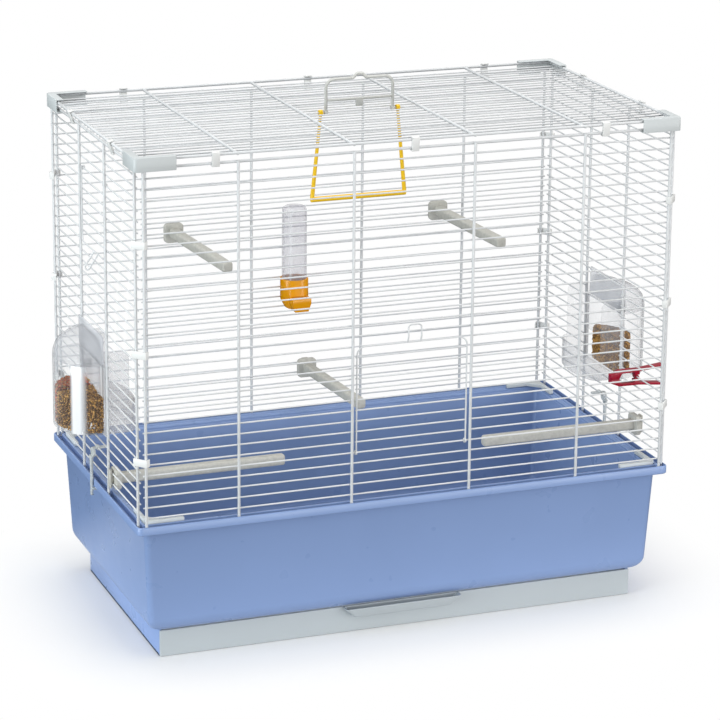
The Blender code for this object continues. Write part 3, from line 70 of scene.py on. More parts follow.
# Wire panels
THICK = 0.0015
THIN = 0.00085
WIRE_SIDES = 10
WELD_SPREAD = 1.15
WELD_DEPTH = 0.45
PITCH = 0.0115
STUB = 0.0010
THICK_X = 0.2966
THICK_Y = 0.1621
THIN_X = 0.29455
THIN_Y = 0.16005
RAIL_X = 0.2939
RAIL_Y = 0.1594
TOP_RAIL_Y = 0.1606
WIRE_FOOT = 0.1498
RAIL_HEIGHT = 0.5301
TOP_WIRE_HEIGHT = 0.5381
TOP_RAIL_HEIGHT = 0.5390
TOP_THIN_HEIGHT = 0.53605
FRONT_UPRIGHTS = (-0.2899, -0.1905, -0.0664, 0.0664, 0.1905, 0.2899)
SIDE_UPRIGHTS = (-0.1544, -0.0470, 0.0470, 0.1544)
FRONT_ROW_TOP = 0.5195
FRONT_ROWS = 33
SIDE_ROW_LOW = 0.1665
SIDE_PITCH = 0.01143
SIDE_ROWS = 32
TOP_ROWS = 27
DOOR_ROWS = range(17, 27)
FEEDER_ROWS = range(5, 14)
FLAP_ROWS = range(21, 28)


def front_row(number):
    return FRONT_ROW_TOP - PITCH * number


def side_row(number):
    return SIDE_ROW_LOW + SIDE_PITCH * number


def top_row(number):
    return PITCH * (number - (TOP_ROWS + 1) / 2)


# Node groups for finishes

NOISE_LOW = 0.25
NOISE_HIGH = 0.75
GRAIN_DETAIL = 3.0


def feed(tree, socket, value):
    """Give a socket a value, or link it to another node's output."""
    if isinstance(value, bpy.types.NodeSocket):
        tree.links.new(value, socket)
    else:
        socket.default_value = value


def add_node(tree, kind, **inputs):
    """A node with its inputs fed; their names have _ for a blank."""
    node = tree.nodes.new(kind)
    for name, value in inputs.items():
        feed(tree, node.inputs[name.replace("_", " ")], value)
    return node


def maths(tree, operation, *terms, kind="ShaderNodeMath", output="Value"):
    """A sum of values or other nodes' outputs; gives its output."""
    node = tree.nodes.new(kind)
    node.operation = operation
    for socket, value in zip(node.inputs, terms):
        feed(tree, socket, value)
    return node.outputs[output]


def seen_directly(tree):
    """One for rays from the camera, also through clear parts, and nought for others."""
    rays = tree.nodes.new("ShaderNodeLightPath").outputs
    return maths(tree, "MAXIMUM", rays["Is Camera Ray"], rays["Is Transmission Ray"])


def object_noise(tree, scale, detail=2.0):
    place = tree.nodes.new("ShaderNodeTexCoord").outputs["Object"]
    texture = add_node(tree, "ShaderNodeTexNoise", Vector=place, Scale=scale, Detail=detail)
    return texture.outputs["Fac"]


def map_range(tree, value, **limits):
    return add_node(tree, "ShaderNodeMapRange", Value=value, **limits).outputs["Result"]


def scaled(tree, source, low, high):
    """A noise between two values."""
    return map_range(tree, source, From_Min=NOISE_LOW, From_Max=NOISE_HIGH, To_Min=low,
                     To_Max=high)


def new_group(name, inputs, outputs):
    """A node group with its sockets; gives it, its input node and its output node."""
    group = bpy.data.node_groups.new(name, "ShaderNodeTree")
    for way, sockets in (("INPUT", inputs), ("OUTPUT", outputs)):
        for socket in sockets:
            kind = "NodeSocketColor" if socket == "Colour" else "NodeSocketFloat"
            group.interface.new_socket(socket, in_out=way, socket_type=kind)
    return group, group.nodes.new("NodeGroupInput"), group.nodes.new("NodeGroupOutput")


def make_finish_group(name, cloud_scale, cloud_share, grain_scale, gloss_scale, gloss_spread):
    """Colour with faint clouds, a roughness that wanders and a fine surface height."""
    group, source, result = new_group(name, ("Colour", "Gloss"),
                                      ("Colour", "Roughness", "Height"))
    shade = scaled(group, object_noise(group, cloud_scale), 1 - cloud_share, 1 + cloud_share)
    tint = group.nodes.new("ShaderNodeVectorMath")
    tint.operation = "SCALE"
    feed(group, tint.inputs[0], source.outputs["Colour"])
    feed(group, tint.inputs["Scale"], shade)
    wander = scaled(group, object_noise(group, gloss_scale), -gloss_spread, gloss_spread)
    roughness = maths(group, "ADD", source.outputs["Gloss"], wander)
    height = object_noise(group, grain_scale, GRAIN_DETAIL)
    for socket, value in zip(result.inputs, (tint.outputs["Vector"], roughness, height)):
        feed(group, socket, value)
    return group


# Each group's cloud scale and share, grain scale, gloss scale and gloss spread
MOULDED = make_finish_group("moulded_plastic", 9, 0.025, 350, 40, 0.04)
COATING = make_finish_group("wire_coating", 60, 0.05, 400, 150, 0.08)
STONE = make_finish_group("perch_mottle", 260, 0.10, 900, 60, 0.06)
CLEAR = make_finish_group("clear_moulding", 12, 0.01, 120, 60, 0.02)
SEEDS = make_finish_group("seed_husk", 500, 0.55, 1500, 300, 0.10)

# Gloss, and the heights of the grain
SPECULAR = 0.3
BUMP_STRENGTH = 0.35
MOULDED_BUMP = 0.00002
WIRE_BUMP = 0.00001
PERCH_BUMP = 0.0004
CLEAR_BUMP = 0.0001
SEED_BUMP = 0.0002


def new_material(name, specular):
    """A material with its node tree and its shader."""
    material = bpy.data.materials.new(name)
    material.use_nodes = True
    shader = material.node_tree.nodes["Principled BSDF"]
    shader.inputs["Specular IOR Level"].default_value = specular
    return material, material.node_tree, shader


def finish(name, colour, roughness, group=MOULDED, bump=MOULDED_BUMP):
    """A material whose colour, roughness and surface height come through a finish group."""
    material, tree, shader = new_material(name, SPECULAR)
    surface = tree.nodes.new("ShaderNodeGroup")
    surface.node_tree = group
    surface.inputs["Colour"].default_value = (*colour, 1)
    surface.inputs["Gloss"].default_value = roughness
    relief = add_node(tree, "ShaderNodeBump", Height=surface.outputs["Height"], Distance=bump,
                      Strength=BUMP_STRENGTH)
    feed(tree, shader.inputs["Base Color"], surface.outputs["Colour"])
    feed(tree, shader.inputs["Roughness"], surface.outputs["Roughness"])
    feed(tree, shader.inputs["Normal"], relief.outputs["Normal"])
    return material


# A painted highlight on a clear wall, a white band set by place: its middle, half width, top and
# share
NO_PAINTED_HIGHLIGHT = (0.0, -1.0, 1.0, 0.0)
HOPPER_PAINTED_HIGHLIGHT = (-0.0347, 0.0070, 0.3020, 0.90)
BOTTLE_PAINTED_HIGHLIGHT = (-0.0300, 0.0034, 1.0, 0.45)
PAINTED_HIGHLIGHT_SOFT = 0.0045
PAINTED_HIGHLIGHT_FADE = 0.012
PAINTED_HIGHLIGHT_COLOUR = (0.95, 0.95, 0.96, 1)
EDGE_POWER = 5.0


def make_clear_group():
    """A thin clear wall: denser towards its edge, and white and dense in a band of painted
    highlight.
    """
    names = ("Colour", "Facing", "Face On", "Grazing", "Place", "Height", "Painted Highlight Middle",
             "Painted Highlight Half", "Painted Highlight Top", "Painted Highlight Share")
    group, source, result = new_group("clear_wall", names, ("Colour", "Alpha"))
    given = source.outputs
    edge = maths(group, "POWER", given["Facing"], EDGE_POWER)
    dense = map_range(group, edge, To_Min=given["Face On"], To_Max=given["Grazing"])
    off = maths(group, "SUBTRACT", given["Place"], given["Painted Highlight Middle"])
    past = maths(group, "SUBTRACT", given["Painted Highlight Half"], maths(group, "ABSOLUTE", off))
    below = maths(group, "SUBTRACT", given["Painted Highlight Top"], given["Height"])
    fades = []
    for distance, softness in ((past, PAINTED_HIGHLIGHT_SOFT), (below, PAINTED_HIGHLIGHT_FADE)):
        share = maths(group, "DIVIDE", distance, softness)
        soft = add_node(group, "ShaderNodeMapRange", Value=share)
        soft.interpolation_type = "SMOOTHSTEP"
        fades.append(soft.outputs["Result"])
    # Share of the painted highlight: inside its band and below its top
    lit = maths(group, "MULTIPLY", *fades)
    painted_highlight = maths(group, "MULTIPLY", lit, given["Painted Highlight Share"])
    feed(group, result.inputs["Alpha"], maths(group, "MAXIMUM", dense, painted_highlight))
    tint = group.nodes.new("ShaderNodeMix")
    tint.data_type = "RGBA"
    first, second = [socket for socket in tint.inputs if socket.type == "RGBA"]
    feed(group, tint.inputs[0], lit)
    feed(group, first, given["Colour"])
    feed(group, second, PAINTED_HIGHLIGHT_COLOUR)
    mixed = next(socket for socket in tint.outputs if socket.type == "RGBA")
    feed(group, result.inputs["Colour"], mixed)
    return group


CLEAR_WALLS = make_clear_group()


def clear_finish(name, colour, roughness, facing, grazing, axis="Y", painted_highlight=NO_PAINTED_HIGHLIGHT):
    """A material that shows what is behind it, apart from edges and a band of painted highlight."""
    material = finish(name, colour, roughness, CLEAR, CLEAR_BUMP)
    tree = material.node_tree
    shader = tree.nodes["Principled BSDF"]
    surface = tree.nodes["Group"]
    weight = add_node(tree, "ShaderNodeLayerWeight", Blend=0.5)
    place = tree.nodes.new("ShaderNodeTexCoord").outputs["Object"]
    apart = add_node(tree, "ShaderNodeSeparateXYZ", Vector=place)
    wall = tree.nodes.new("ShaderNodeGroup")
    wall.node_tree = CLEAR_WALLS
    values = (surface.outputs["Colour"], weight.outputs["Facing"], facing, grazing,
              apart.outputs[axis], apart.outputs["Z"], *painted_highlight)
    for socket, value in zip(wall.inputs, values):
        feed(tree, socket, value)
    feed(tree, shader.inputs["Base Color"], wall.outputs["Colour"])
    feed(tree, shader.inputs["Alpha"], wall.outputs["Alpha"])
    return material


# Colour and roughness of each finish
BLUE = finish("tray_blue", (0.235, 0.333, 0.575), 0.30)
GREY = finish("drawer_grey", (0.430, 0.467, 0.485), 0.34)
CAP_GREY = finish("cap_grey", (0.590, 0.620, 0.620), 0.38)
WHITE = finish("clip_white", (0.800, 0.800, 0.780), 0.38)
WIRE = finish("white_wire", (0.680, 0.690, 0.695), 0.34, COATING, WIRE_BUMP)
PERCH = finish("perch_stone", (0.490, 0.480, 0.435), 0.50, STONE, PERCH_BUMP)
YELLOW = finish("swing_yellow", (0.900, 0.560, 0.008), 0.42)
ORANGE = finish("cup_orange", (0.800, 0.330, 0.002), 0.20, CLEAR, CLEAR_BUMP)
RED = finish("clip_red", (0.340, 0.003, 0.022), 0.34)
HANDLE = finish("handle_ivory", (0.600, 0.600, 0.565), 0.40)
HUSKS = (finish("millet_brown", (0.210, 0.105, 0.030), 0.55, SEEDS, SEED_BUMP),
         finish("millet_gold", (0.480, 0.260, 0.065), 0.55, SEEDS, SEED_BUMP),
         finish("seed_red", (0.520, 0.095, 0.015), 0.55, SEEDS, SEED_BUMP))

# Colour, roughness, and density face on and grazing, of each clear finish
GLASSY = clear_finish("clear_plastic", (0.600, 0.615, 0.650), 0.08, 0.03, 0.85)
# The left hopper carries a painted white highlight band across its front half
HIGHLIGHT_PAINTED_CLEAR = clear_finish("painted_highlight_plastic", (0.600, 0.615, 0.650), 0.08, 0.03, 0.85, "Y", HOPPER_PAINTED_HIGHLIGHT)
LID = clear_finish("lid_plastic", (0.640, 0.650, 0.680), 0.08, 0.12, 0.90)
FIN = clear_finish("fin_plastic", (0.700, 0.710, 0.740), 0.10, 0.34, 0.90)
GUARD = clear_finish("guard_plastic", (0.640, 0.650, 0.680), 0.10, 0.27, 0.80)
FRAME = clear_finish("frame_plastic", (0.800, 0.810, 0.830), 0.14, 0.45, 0.90)
# The bottle carries a painted white highlight band down its left side
BOTTLE = clear_finish("bottle_plastic", (0.620, 0.605, 0.660), 0.08, 0.19, 0.85, "X",
                      BOTTLE_PAINTED_HIGHLIGHT)


# Shapes

def kept_mesh(bm, name):
    """Turn a bmesh into a mesh, and free it."""
    mesh = bpy.data.meshes.new(name)
    bm.to_mesh(mesh)
    bm.free()
    return mesh


def add_object(name, data):
    item = bpy.data.objects.new(name, data)
    bpy.context.scene.collection.objects.link(item)
    return item


def put(name, bm, material, nodes=(), body=BODY):
    """Make a finished piece of a bmesh and hang it on its body."""
    mesh = kept_mesh(bm, name)
    mesh.materials.append(material)
    mesh.shade_smooth()
    mesh.set_sharp_from_angle(angle=radians(SMOOTH_ANGLE))
    item = add_object(name, mesh)
    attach(item, body)
    if nodes:
        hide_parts(*nodes)


def merged_into(bm, part):
    """Add one bmesh to another, and free it."""
    mesh = kept_mesh(part, "part")
    bm.from_mesh(mesh)
    bpy.data.meshes.remove(mesh)


def aligned(start, end):
    """Matrix that stands a shape on its Z axis between two points, at their middle."""
    turn = UP.rotation_difference(end - start).to_matrix().to_4x4()
    return Matrix.Translation((start + end) / 2) @ turn


def bevel(bm, parts, width, segments, affect="EDGES", clamp=False):
    bmesh.ops.bevel(bm, geom=parts, offset=width, segments=segments, profile=0.5, affect=affect,
                    clamp_overlap=clamp, material=-1)


def round_sharp(bm, width, segments=2, angle=SHARP_ANGLE, pick=None):
    """Bevel the edges that turn by more than an angle."""
    limit = radians(angle)
    edges = [edge for edge in bm.edges
             if len(edge.link_faces) == 2 and edge.calc_face_angle(0) > limit
             and (pick is None or pick(edge))]
    bevel(bm, edges, width, segments, clamp=True)


TEMPLATES = {}


def wire_template(length, radius, sides):
    """A straight wire along Z with rounded ends."""
    key = (round(length, 5), radius, sides)
    if key not in TEMPLATES:
        bm = bmesh.new()
        bmesh.ops.create_cone(bm, cap_ends=True, segments=sides, radius1=radius,
                              radius2=radius, depth=length)
        rims = [edge for edge in bm.edges
                if any(len(face.verts) == sides for face in edge.link_faces)]
        bevel(bm, rims, radius / 3, 2)
        TEMPLATES[key] = kept_mesh(bm, "wire_template")
    return TEMPLATES[key]


def bead_template(radius):
    """The coated bead where two wires are welded."""
    if radius not in TEMPLATES:
        bm = bmesh.new()
        bmesh.ops.create_uvsphere(bm, u_segments=8, v_segments=5, radius=radius)
        TEMPLATES[radius] = kept_mesh(bm, "bead_template")
    return TEMPLATES[radius]


def stamp(bm, template, place):
    """Add a copy of a mesh at a place."""
    mesh = template.copy()
    mesh.transform(place)
    bm.from_mesh(mesh, face_normals=False, vertex_normals=False)
    bpy.data.meshes.remove(mesh)


def wire(bm, start, end, radius, sides=WIRE_SIDES):
    start = Vector(start)
    end = Vector(end)
    stamp(bm, wire_template((end - start).length, radius, sides), aligned(start, end))


def weld(bm, place, radius):
    stamp(bm, bead_template(radius), Matrix.Translation(place))


def tube(bm, points, radius, steps=3):
    """A round tube along a path, with closed ends."""
    curve = bpy.data.curves.new("tube", "CURVE")
    curve.dimensions = "3D"
    curve.bevel_depth = radius
    curve.bevel_resolution = steps
    curve.use_fill_caps = True
    spline = curve.splines.new("POLY")
    spline.points.add(len(points) - 1)
    for point, place in zip(spline.points, points):
        point.co = (*place, 1)
    item = add_object("tube", curve)
    mesh = bpy.data.meshes.new_from_object(
        item.evaluated_get(bpy.context.evaluated_depsgraph_get()))
    bpy.data.objects.remove(item, do_unlink=True)
    part = bmesh.new()
    part.from_mesh(mesh)
    bpy.data.meshes.remove(mesh)
    bmesh.ops.remove_doubles(part, verts=part.verts, dist=MERGE)
    merged_into(bm, part)


def bend(points, radius, steps=6):
    """Round the inner corners of a path."""
    points = [Vector(point) for point in points]
    path = [points[0]]
    for before, corner, after in zip(points, points[1:], points[2:]):
        into = (corner - before).normalized()
        out = (after - corner).normalized()
        half = into.angle(out) / 2
        start = corner - into * radius * tan(half)
        centre = corner + (out - into).normalized() * radius / cos(half)
        axis = into.cross(out).normalized()
        for step in range(steps + 1):
            turn = Matrix.Rotation(2 * half * step / steps, 3, axis)
            path.append(centre + turn @ (start - centre))
    path.append(points[-1])
    return path


def closed_loop(bm, points):
    """The vertices and the edges of an outline."""
    verts = [bm.verts.new(point) for point in points]
    return verts, [bm.edges.new((verts[index - 1], verts[index])) for index in range(len(verts))]


def eye(bm, centre, axis, inner, outer, width, sides=20):
    """A round eye, turned from its section about an axis."""
    centre = Vector(centre)
    axis = Vector(axis)
    side = axis.orthogonal().normalized()
    half = axis * width / 2
    corners = (side * inner - half, side * outer - half, side * outer + half,
               side * inner + half)
    verts, edges = closed_loop(bm, [centre + corner for corner in corners])
    bmesh.ops.spin(bm, geom=verts + edges, cent=centre, axis=axis, angle=tau,
                   steps=sides, use_merge=True)


def rounded_eye(bm, centre, axis, inner, outer, width, round_off, sides=20):
    ring = bmesh.new()
    eye(ring, centre, axis, inner, outer, width, sides)
    round_sharp(ring, round_off)
    merged_into(bm, ring)


def rod(start, end, first, last, sides):
    """A straight rod with its radius at each end."""
    bm = bmesh.new()
    bmesh.ops.create_cone(bm, cap_ends=True, segments=sides, radius1=first, radius2=last,
                          depth=(end - start).length, matrix=aligned(start, end))
    return bm


def plain_box(bm, low, high):
    """A box between two corners; gives its vertices."""
    low = Vector(low)
    high = Vector(high)
    place = Matrix.Translation((low + high) / 2) @ Matrix.Diagonal((*(high - low), 1))
    return bmesh.ops.create_cube(bm, size=1, matrix=place)["verts"]


def soft_box(bm, low, high, round_off, segments=3):
    """A box with all its edges rounded."""
    verts = plain_box(bm, low, high)
    edges = list({edge for vert in verts for edge in vert.link_edges})
    bevel(bm, edges, round_off, segments)


def boxed(low, high):
    bm = bmesh.new()
    soft_box(bm, low, high, EDGE, 2)
    return bm


def round_face(bm, half_x, half_y, radius, height, centre=(0, 0), segments=8):
    """A flat rectangle with round corners; gives its face."""
    size = Matrix.Diagonal((2 * half_x, 2 * half_y, 1, 1))
    place = Matrix.Translation((*centre, height)) @ size
    made = bmesh.ops.create_grid(bm, x_segments=1, y_segments=1, size=0.5, matrix=place)
    bevel(bm, made["verts"], radius, segments, "VERTICES")
    return next(iter(bm.faces))


def thicken(bm, face, vector):
    """Push a face out to a closed slab."""
    made = bmesh.ops.extrude_face_region(bm, geom=[face], use_keep_orig=True)
    verts = [item for item in made["geom"] if isinstance(item, bmesh.types.BMVert)]
    bmesh.ops.translate(bm, verts=verts, vec=vector)
    bmesh.ops.recalc_face_normals(bm, faces=bm.faces)


def slab(points, vector, round_off, segments=2, angle=SHARP_ANGLE):
    """A slab from an outline, its sharp edges rounded."""
    bm = bmesh.new()
    face = bm.faces.new([bm.verts.new(point) for point in points])
    thicken(bm, face, vector)
    round_sharp(bm, round_off, segments, angle)
    return bm


def round_slab(half_x, half_y, radius, low, high, centre=(0, 0), segments=8):
    """A slab from a rectangle with round corners, between two heights."""
    bm = bmesh.new()
    face = round_face(bm, half_x, half_y, radius, low, centre, segments)
    thicken(bm, face, (0, 0, high - low))
    return bm


def top_face(bm):
    return max(bm.faces, key=lambda item: item.calc_center_median().z)


def hollowed(bm, wall, depth):
    """Sink a block's top face inside a wall; gives the floor's vertices."""
    top = top_face(bm)
    bmesh.ops.inset_region(bm, faces=[top], thickness=wall)
    floor = bmesh.ops.extrude_discrete_faces(bm, faces=[top])["faces"][0]
    verts = list(floor.verts)
    bmesh.ops.translate(bm, verts=verts, vec=(0, 0, -depth))
    return verts


def mirror_x(bm):
    bmesh.ops.transform(bm, matrix=Matrix.Scale(-1, 4, (1, 0, 0)), verts=bm.verts)
    bmesh.ops.reverse_faces(bm, faces=bm.faces)


def copied(node):
    """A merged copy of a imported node's mesh, with its flat faces joined again."""
    bm = bmesh.new()
    bm.from_mesh(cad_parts[node].data)
    bmesh.ops.remove_doubles(bm, verts=bm.verts, dist=MERGE)
    bmesh.ops.dissolve_limit(bm, angle_limit=radians(FLAT_ANGLE), verts=bm.verts,
                             edges=bm.edges)
    return bm


def dress(node, material, round_off, segments=2, body=BODY):
    """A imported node's own shape, its edges rounded."""
    bm = copied(node)
    round_sharp(bm, round_off, segments)
    put(node + "_moulding", bm, material, (node,), body)


# Wire panels and doors

DOOR_HALF = 0.0615
DOOR_FACE = -0.16145
DOOR_BEND = 0.009
DOOR_LOOP_X = (-0.0054, 0.0091)
DOOR_LOOP_RISE = 0.0190
FLAP_HALF = 0.042
FLAP_FACE = -0.29595
FLAP_BEND = 0.006
FLAP_LOOP_Y = (-0.017, -0.003)
LOOP_BEND = 0.0035
EYE_BORE = 0.00125
EYE_OUTER = 0.00255
DOOR_EYE = 0.0020

# The loops' points: way out and rise from the door's edge
DOOR_LOOP = ((0, 0), (0.0027, DOOR_LOOP_RISE / 3), (0.0016, DOOR_LOOP_RISE))
FLAP_LOOP = ((0, 0), (0.011, -0.0165))


def along_x(along, depth, height):
    return along, depth, height


def along_y(along, depth, height):
    return depth, along, height


def panel(node, uprights, rows):
    """Straight wires with a bead at each weld; each wire is its start, end and radius."""
    bm = bmesh.new()
    for start, end, radius in uprights + rows:
        wire(bm, start, end, radius)
    for up_start, up_end, up_radius in uprights:
        up_start = Vector(up_start)
        up_run = Vector(up_end) - up_start
        for start, end, radius in rows:
            start = Vector(start)
            run = Vector(end) - start
            across = up_run.cross(run)
            reach = (up_start - start).dot(across.normalized())
            share = (up_start - start).cross(up_run).dot(-across) / across.length_squared
            along = (start - up_start).cross(run).dot(across) / across.length_squared
            if abs(reach) > up_radius + radius or not (0 < share < 1 and 0 < along < 1):
                continue
            place = start + run * share + across.normalized() * reach * WELD_DEPTH
            weld(bm, place, radius * WELD_SPREAD)
    put(node + "_wires", bm, WIRE, (node,))


def spans(half, post, is_open):
    """Where a row's wires start and end, with or without a doorway."""
    end = half + THICK + STUB
    if not is_open:
        return ((-end, end),)
    return ((-end, -post + THICK / 2), (post - THICK / 2, end))


def upright_panel(node, at, posts, row, count, open_rows, post, thick, thin, rail):
    """Uprights, rows that leave a doorway between two posts, and a rail."""
    uprights = [(at(along, thick, WIRE_FOOT), at(along, thick, RAIL_HEIGHT + STUB), THICK)
                for along in posts]
    rows = []
    for number in range(count):
        for low, high in spans(posts[-1], post, number in open_rows):
            rows.append((at(low, thin, row(number)), at(high, thin, row(number)), THIN))
    end = posts[-1] + THICK + STUB
    rows.append((at(-end, rail, RAIL_HEIGHT), at(end, rail, RAIL_HEIGHT), THICK))
    panel(node, uprights, rows)


def make_panels():
    for side, node, rows in ((-1, "front_panel", DOOR_ROWS), (1, "back_panel", ())):
        upright_panel(node, along_x, FRONT_UPRIGHTS, front_row, FRONT_ROWS, rows,
                      FRONT_UPRIGHTS[3], side * THICK_Y, side * THIN_Y, side * RAIL_Y)
    for side, node, rows in ((-1, "left_panel", (*FEEDER_ROWS, *FLAP_ROWS)),
                             (1, "right_panel", FEEDER_ROWS)):
        upright_panel(node, along_y, SIDE_UPRIGHTS, side_row, SIDE_ROWS, rows,
                      SIDE_UPRIGHTS[2], side * THICK_X, side * THIN_X, side * RAIL_X)
    end_y = TOP_RAIL_Y + STUB
    end_x = THICK_X + STUB
    uprights = [((x, -end_y, TOP_WIRE_HEIGHT), (x, end_y, TOP_WIRE_HEIGHT), THICK)
                for x in (-THICK_X, *FRONT_UPRIGHTS[1:-1], THICK_X)]
    rows = [((-end_x, y, TOP_THIN_HEIGHT), (end_x, y, TOP_THIN_HEIGHT), THIN)
            for y in (top_row(number) for number in range(1, TOP_ROWS + 1))]
    rows += [((-end_x, y, TOP_RAIL_HEIGHT), (end_x, y, TOP_RAIL_HEIGHT), THICK)
             for y in (-TOP_RAIL_Y, TOP_RAIL_Y)]
    panel("top_panel", uprights, rows)


def door(node, at, half, face, thin, row, rows, corner, sides, profile):
    """A wire frame on two eyes, its thin rows with a bead at each weld, and a loop to pull."""
    edge = row(rows[0])
    hinge = row(rows[-1] + 1)
    start = hinge + copysign(EYE_BORE, edge - hinge)
    bm = bmesh.new()
    corners = (at(-half, face, start), at(-half, face, edge), at(half, face, edge),
               at(half, face, start))
    tube(bm, bend(corners, corner), THIN)
    for height in map(row, rows[1:]):
        wire(bm, at(-half - STUB, thin, height), at(half + STUB, thin, height), THIN)
        for along in (-half, half):
            weld(bm, at(along, thin - THIN, height), THIN * WELD_SPREAD)
    for along in (-half, half):
        eye(bm, at(along, thin, hinge), at(1, 0, 0), EYE_BORE, EYE_OUTER, DOOR_EYE)
    near, far = ([at(side, face - out, edge + rise) for out, rise in profile] for side in sides)
    tube(bm, bend(near + far[::-1], LOOP_BEND, 4), THIN)
    put(node + "_wires", bm, WIRE, (node,), node)


def make_doors():
    door("front_door", along_x, DOOR_HALF, DOOR_FACE, -THIN_Y, front_row, DOOR_ROWS, DOOR_BEND,
         DOOR_LOOP_X, DOOR_LOOP)
    door("left_flap_door", along_y, FLAP_HALF, FLAP_FACE, -THIN_X, side_row, FLAP_ROWS,
         FLAP_BEND, FLAP_LOOP_Y, FLAP_LOOP)


# Tray and drawer

RIM_HALF = (0.300, 0.1655)
RIM_TOP = 0.155
GROOVE_FLOOR = 0.1495
SLOPE = 0.0001
OUTER_FOOT = 0.017
OUTER_CORNER = 0.007
TRAY_UNDER = 0.030
TRAY_FLOOR = 0.0325
OPENING_HALF = (0.262, 0.12465)
OPENING_CORNER = 0.005
OPENING_SHIFT = -0.00665
WALL_FOOT_OFFSET = 0.01495
INNER_FOOT_OFFSET = 0.01858
INNER_FOOT = 0.0145
INNER_CORNER = 0.005
FOOT_STEPS = 8
CORNER_STEPS = 6
PLINTH_HALF = 0.270
PLINTH_FRONT = -0.1364
PLINTH_BACK = 0.126

# Wall and height of the plinth, and of the wider strip that it stands on
PLINTH_WALLS = ((0.003, 0.0310), (0.012, 0.0025))

# Offset from the rim's edge, height and corner radius of each ring, from outside to inside
RIM_SECTION = (
    (0.0102, 0.1440, 0.007), (0.0096, 0.1453, 0.007), (0.0082, 0.1459, 0.007),
    (0.0007, 0.1460, 0.006), (0.0, 0.1467, 0.006), (0.0, 0.1541, 0.006),
    (0.0003, 0.1547, 0.006), (0.0009, RIM_TOP, 0.0055), (0.0014, 0.1549, 0.0044),
    (0.0016, 0.1545, 0.0042), (0.0018, GROOVE_FLOOR, 0.0042),
    (0.0074, GROOVE_FLOOR + SLOPE, 0.003), (0.0076, 0.1546, 0.003), (0.0080, RIM_TOP, 0.003),
    (0.0101, RIM_TOP - SLOPE, 0.003), (0.0105, 0.1546, 0.003), (0.0107, 0.1536, 0.003),
    (0.0111, 0.1533, 0.003), (0.0146, 0.1525, 0.005), (0.0150, 0.1521, 0.005),
    (0.0151, 0.1499, 0.005), (0.0156, 0.1495, 0.005), (0.0159, 0.1480, 0.005))


def make_tray():
    """Rings along the tray's section, each a rounded rectangle, bridged one to the next."""
    rings = []

    def ring(offset, height, radius):
        rings.append((RIM_HALF[0] - offset, RIM_HALF[1] - offset, radius, height, 0))

    def opening(height):
        rings.append((*OPENING_HALF, OPENING_CORNER, height, OPENING_SHIFT))

    def foot(offset, height, radius, corner, steps):
        for step in steps:
            angle = pi / 2 * step / FOOT_STEPS
            ring(offset + radius * (1 - sin(angle)),
                 height + radius * (1 - cos(angle)), corner)

    opening(TRAY_UNDER + SLOPE)
    foot(WALL_FOOT_OFFSET, TRAY_UNDER, OUTER_FOOT, OUTER_CORNER, range(FOOT_STEPS + 1))
    for offset, height, corner in RIM_SECTION:
        ring(offset, height, corner)
    foot(INNER_FOOT_OFFSET, TRAY_FLOOR, INNER_FOOT, INNER_CORNER,
         reversed(range(FOOT_STEPS + 1)))
    opening(TRAY_FLOOR - SLOPE)

    bm = bmesh.new()
    loops = []
    for half_x, half_y, radius, height, shift in rings:
        face = round_face(bm, half_x, half_y, radius, height, (0, shift), CORNER_STEPS)
        loops.append(list(face.edges))
        bmesh.ops.delete(bm, geom=[face], context="FACES_ONLY")
    for lower, upper in zip(loops, loops[1:] + loops[:1]):
        bmesh.ops.bridge_loops(bm, edges=lower + upper)
    bmesh.ops.recalc_face_normals(bm, faces=bm.faces)

    half = PLINTH_HALF
    for wall, high in PLINTH_WALLS:
        outline = ((-half, PLINTH_FRONT), (-half + wall, PLINTH_FRONT),
                   (-half + wall, PLINTH_BACK - wall), (half - wall, PLINTH_BACK - wall),
                   (half - wall, PLINTH_FRONT), (half, PLINTH_FRONT), (half, PLINTH_BACK),
                   (-half, PLINTH_BACK))
        merged_into(bm, slab([(x, y, 0) for x, y in outline], (0, 0, high), EDGE))
    put("tray_moulding", bm, BLUE, ("tray_base",))


DRAWER_HALF = 0.270
DRAWER_FACE = -0.1393
DRAWER_INSIDE = -0.1367
DRAWER_LOW = 0.0004
DRAWER_TOP = 0.0294
DRAWER_EDGE = 0.0007
PAN_HALF = 0.2662
PAN_FRONT = -0.1375
PAN_BACK = 0.1222
PAN_LOW = 0.0028
PAN_TOP = 0.0284
PAN_CORNER = 0.004
PAN_WALL = 0.0018
SCOOP_HALF = (0.056, 0.0052)
SCOOP_CORNER = 0.0036
SCOOP_RISE = 0.0105
SCOOP_OUT = 0.0033
SCOOP_FLARE = (1.196, 1.36, 1)
SCOOP_WALL = 0.0018
SCOOP_DEPTH = 0.0085
SCOOP_TAPER = (0.86, 0.80, 1)
SCOOP_EDGE = 0.0008


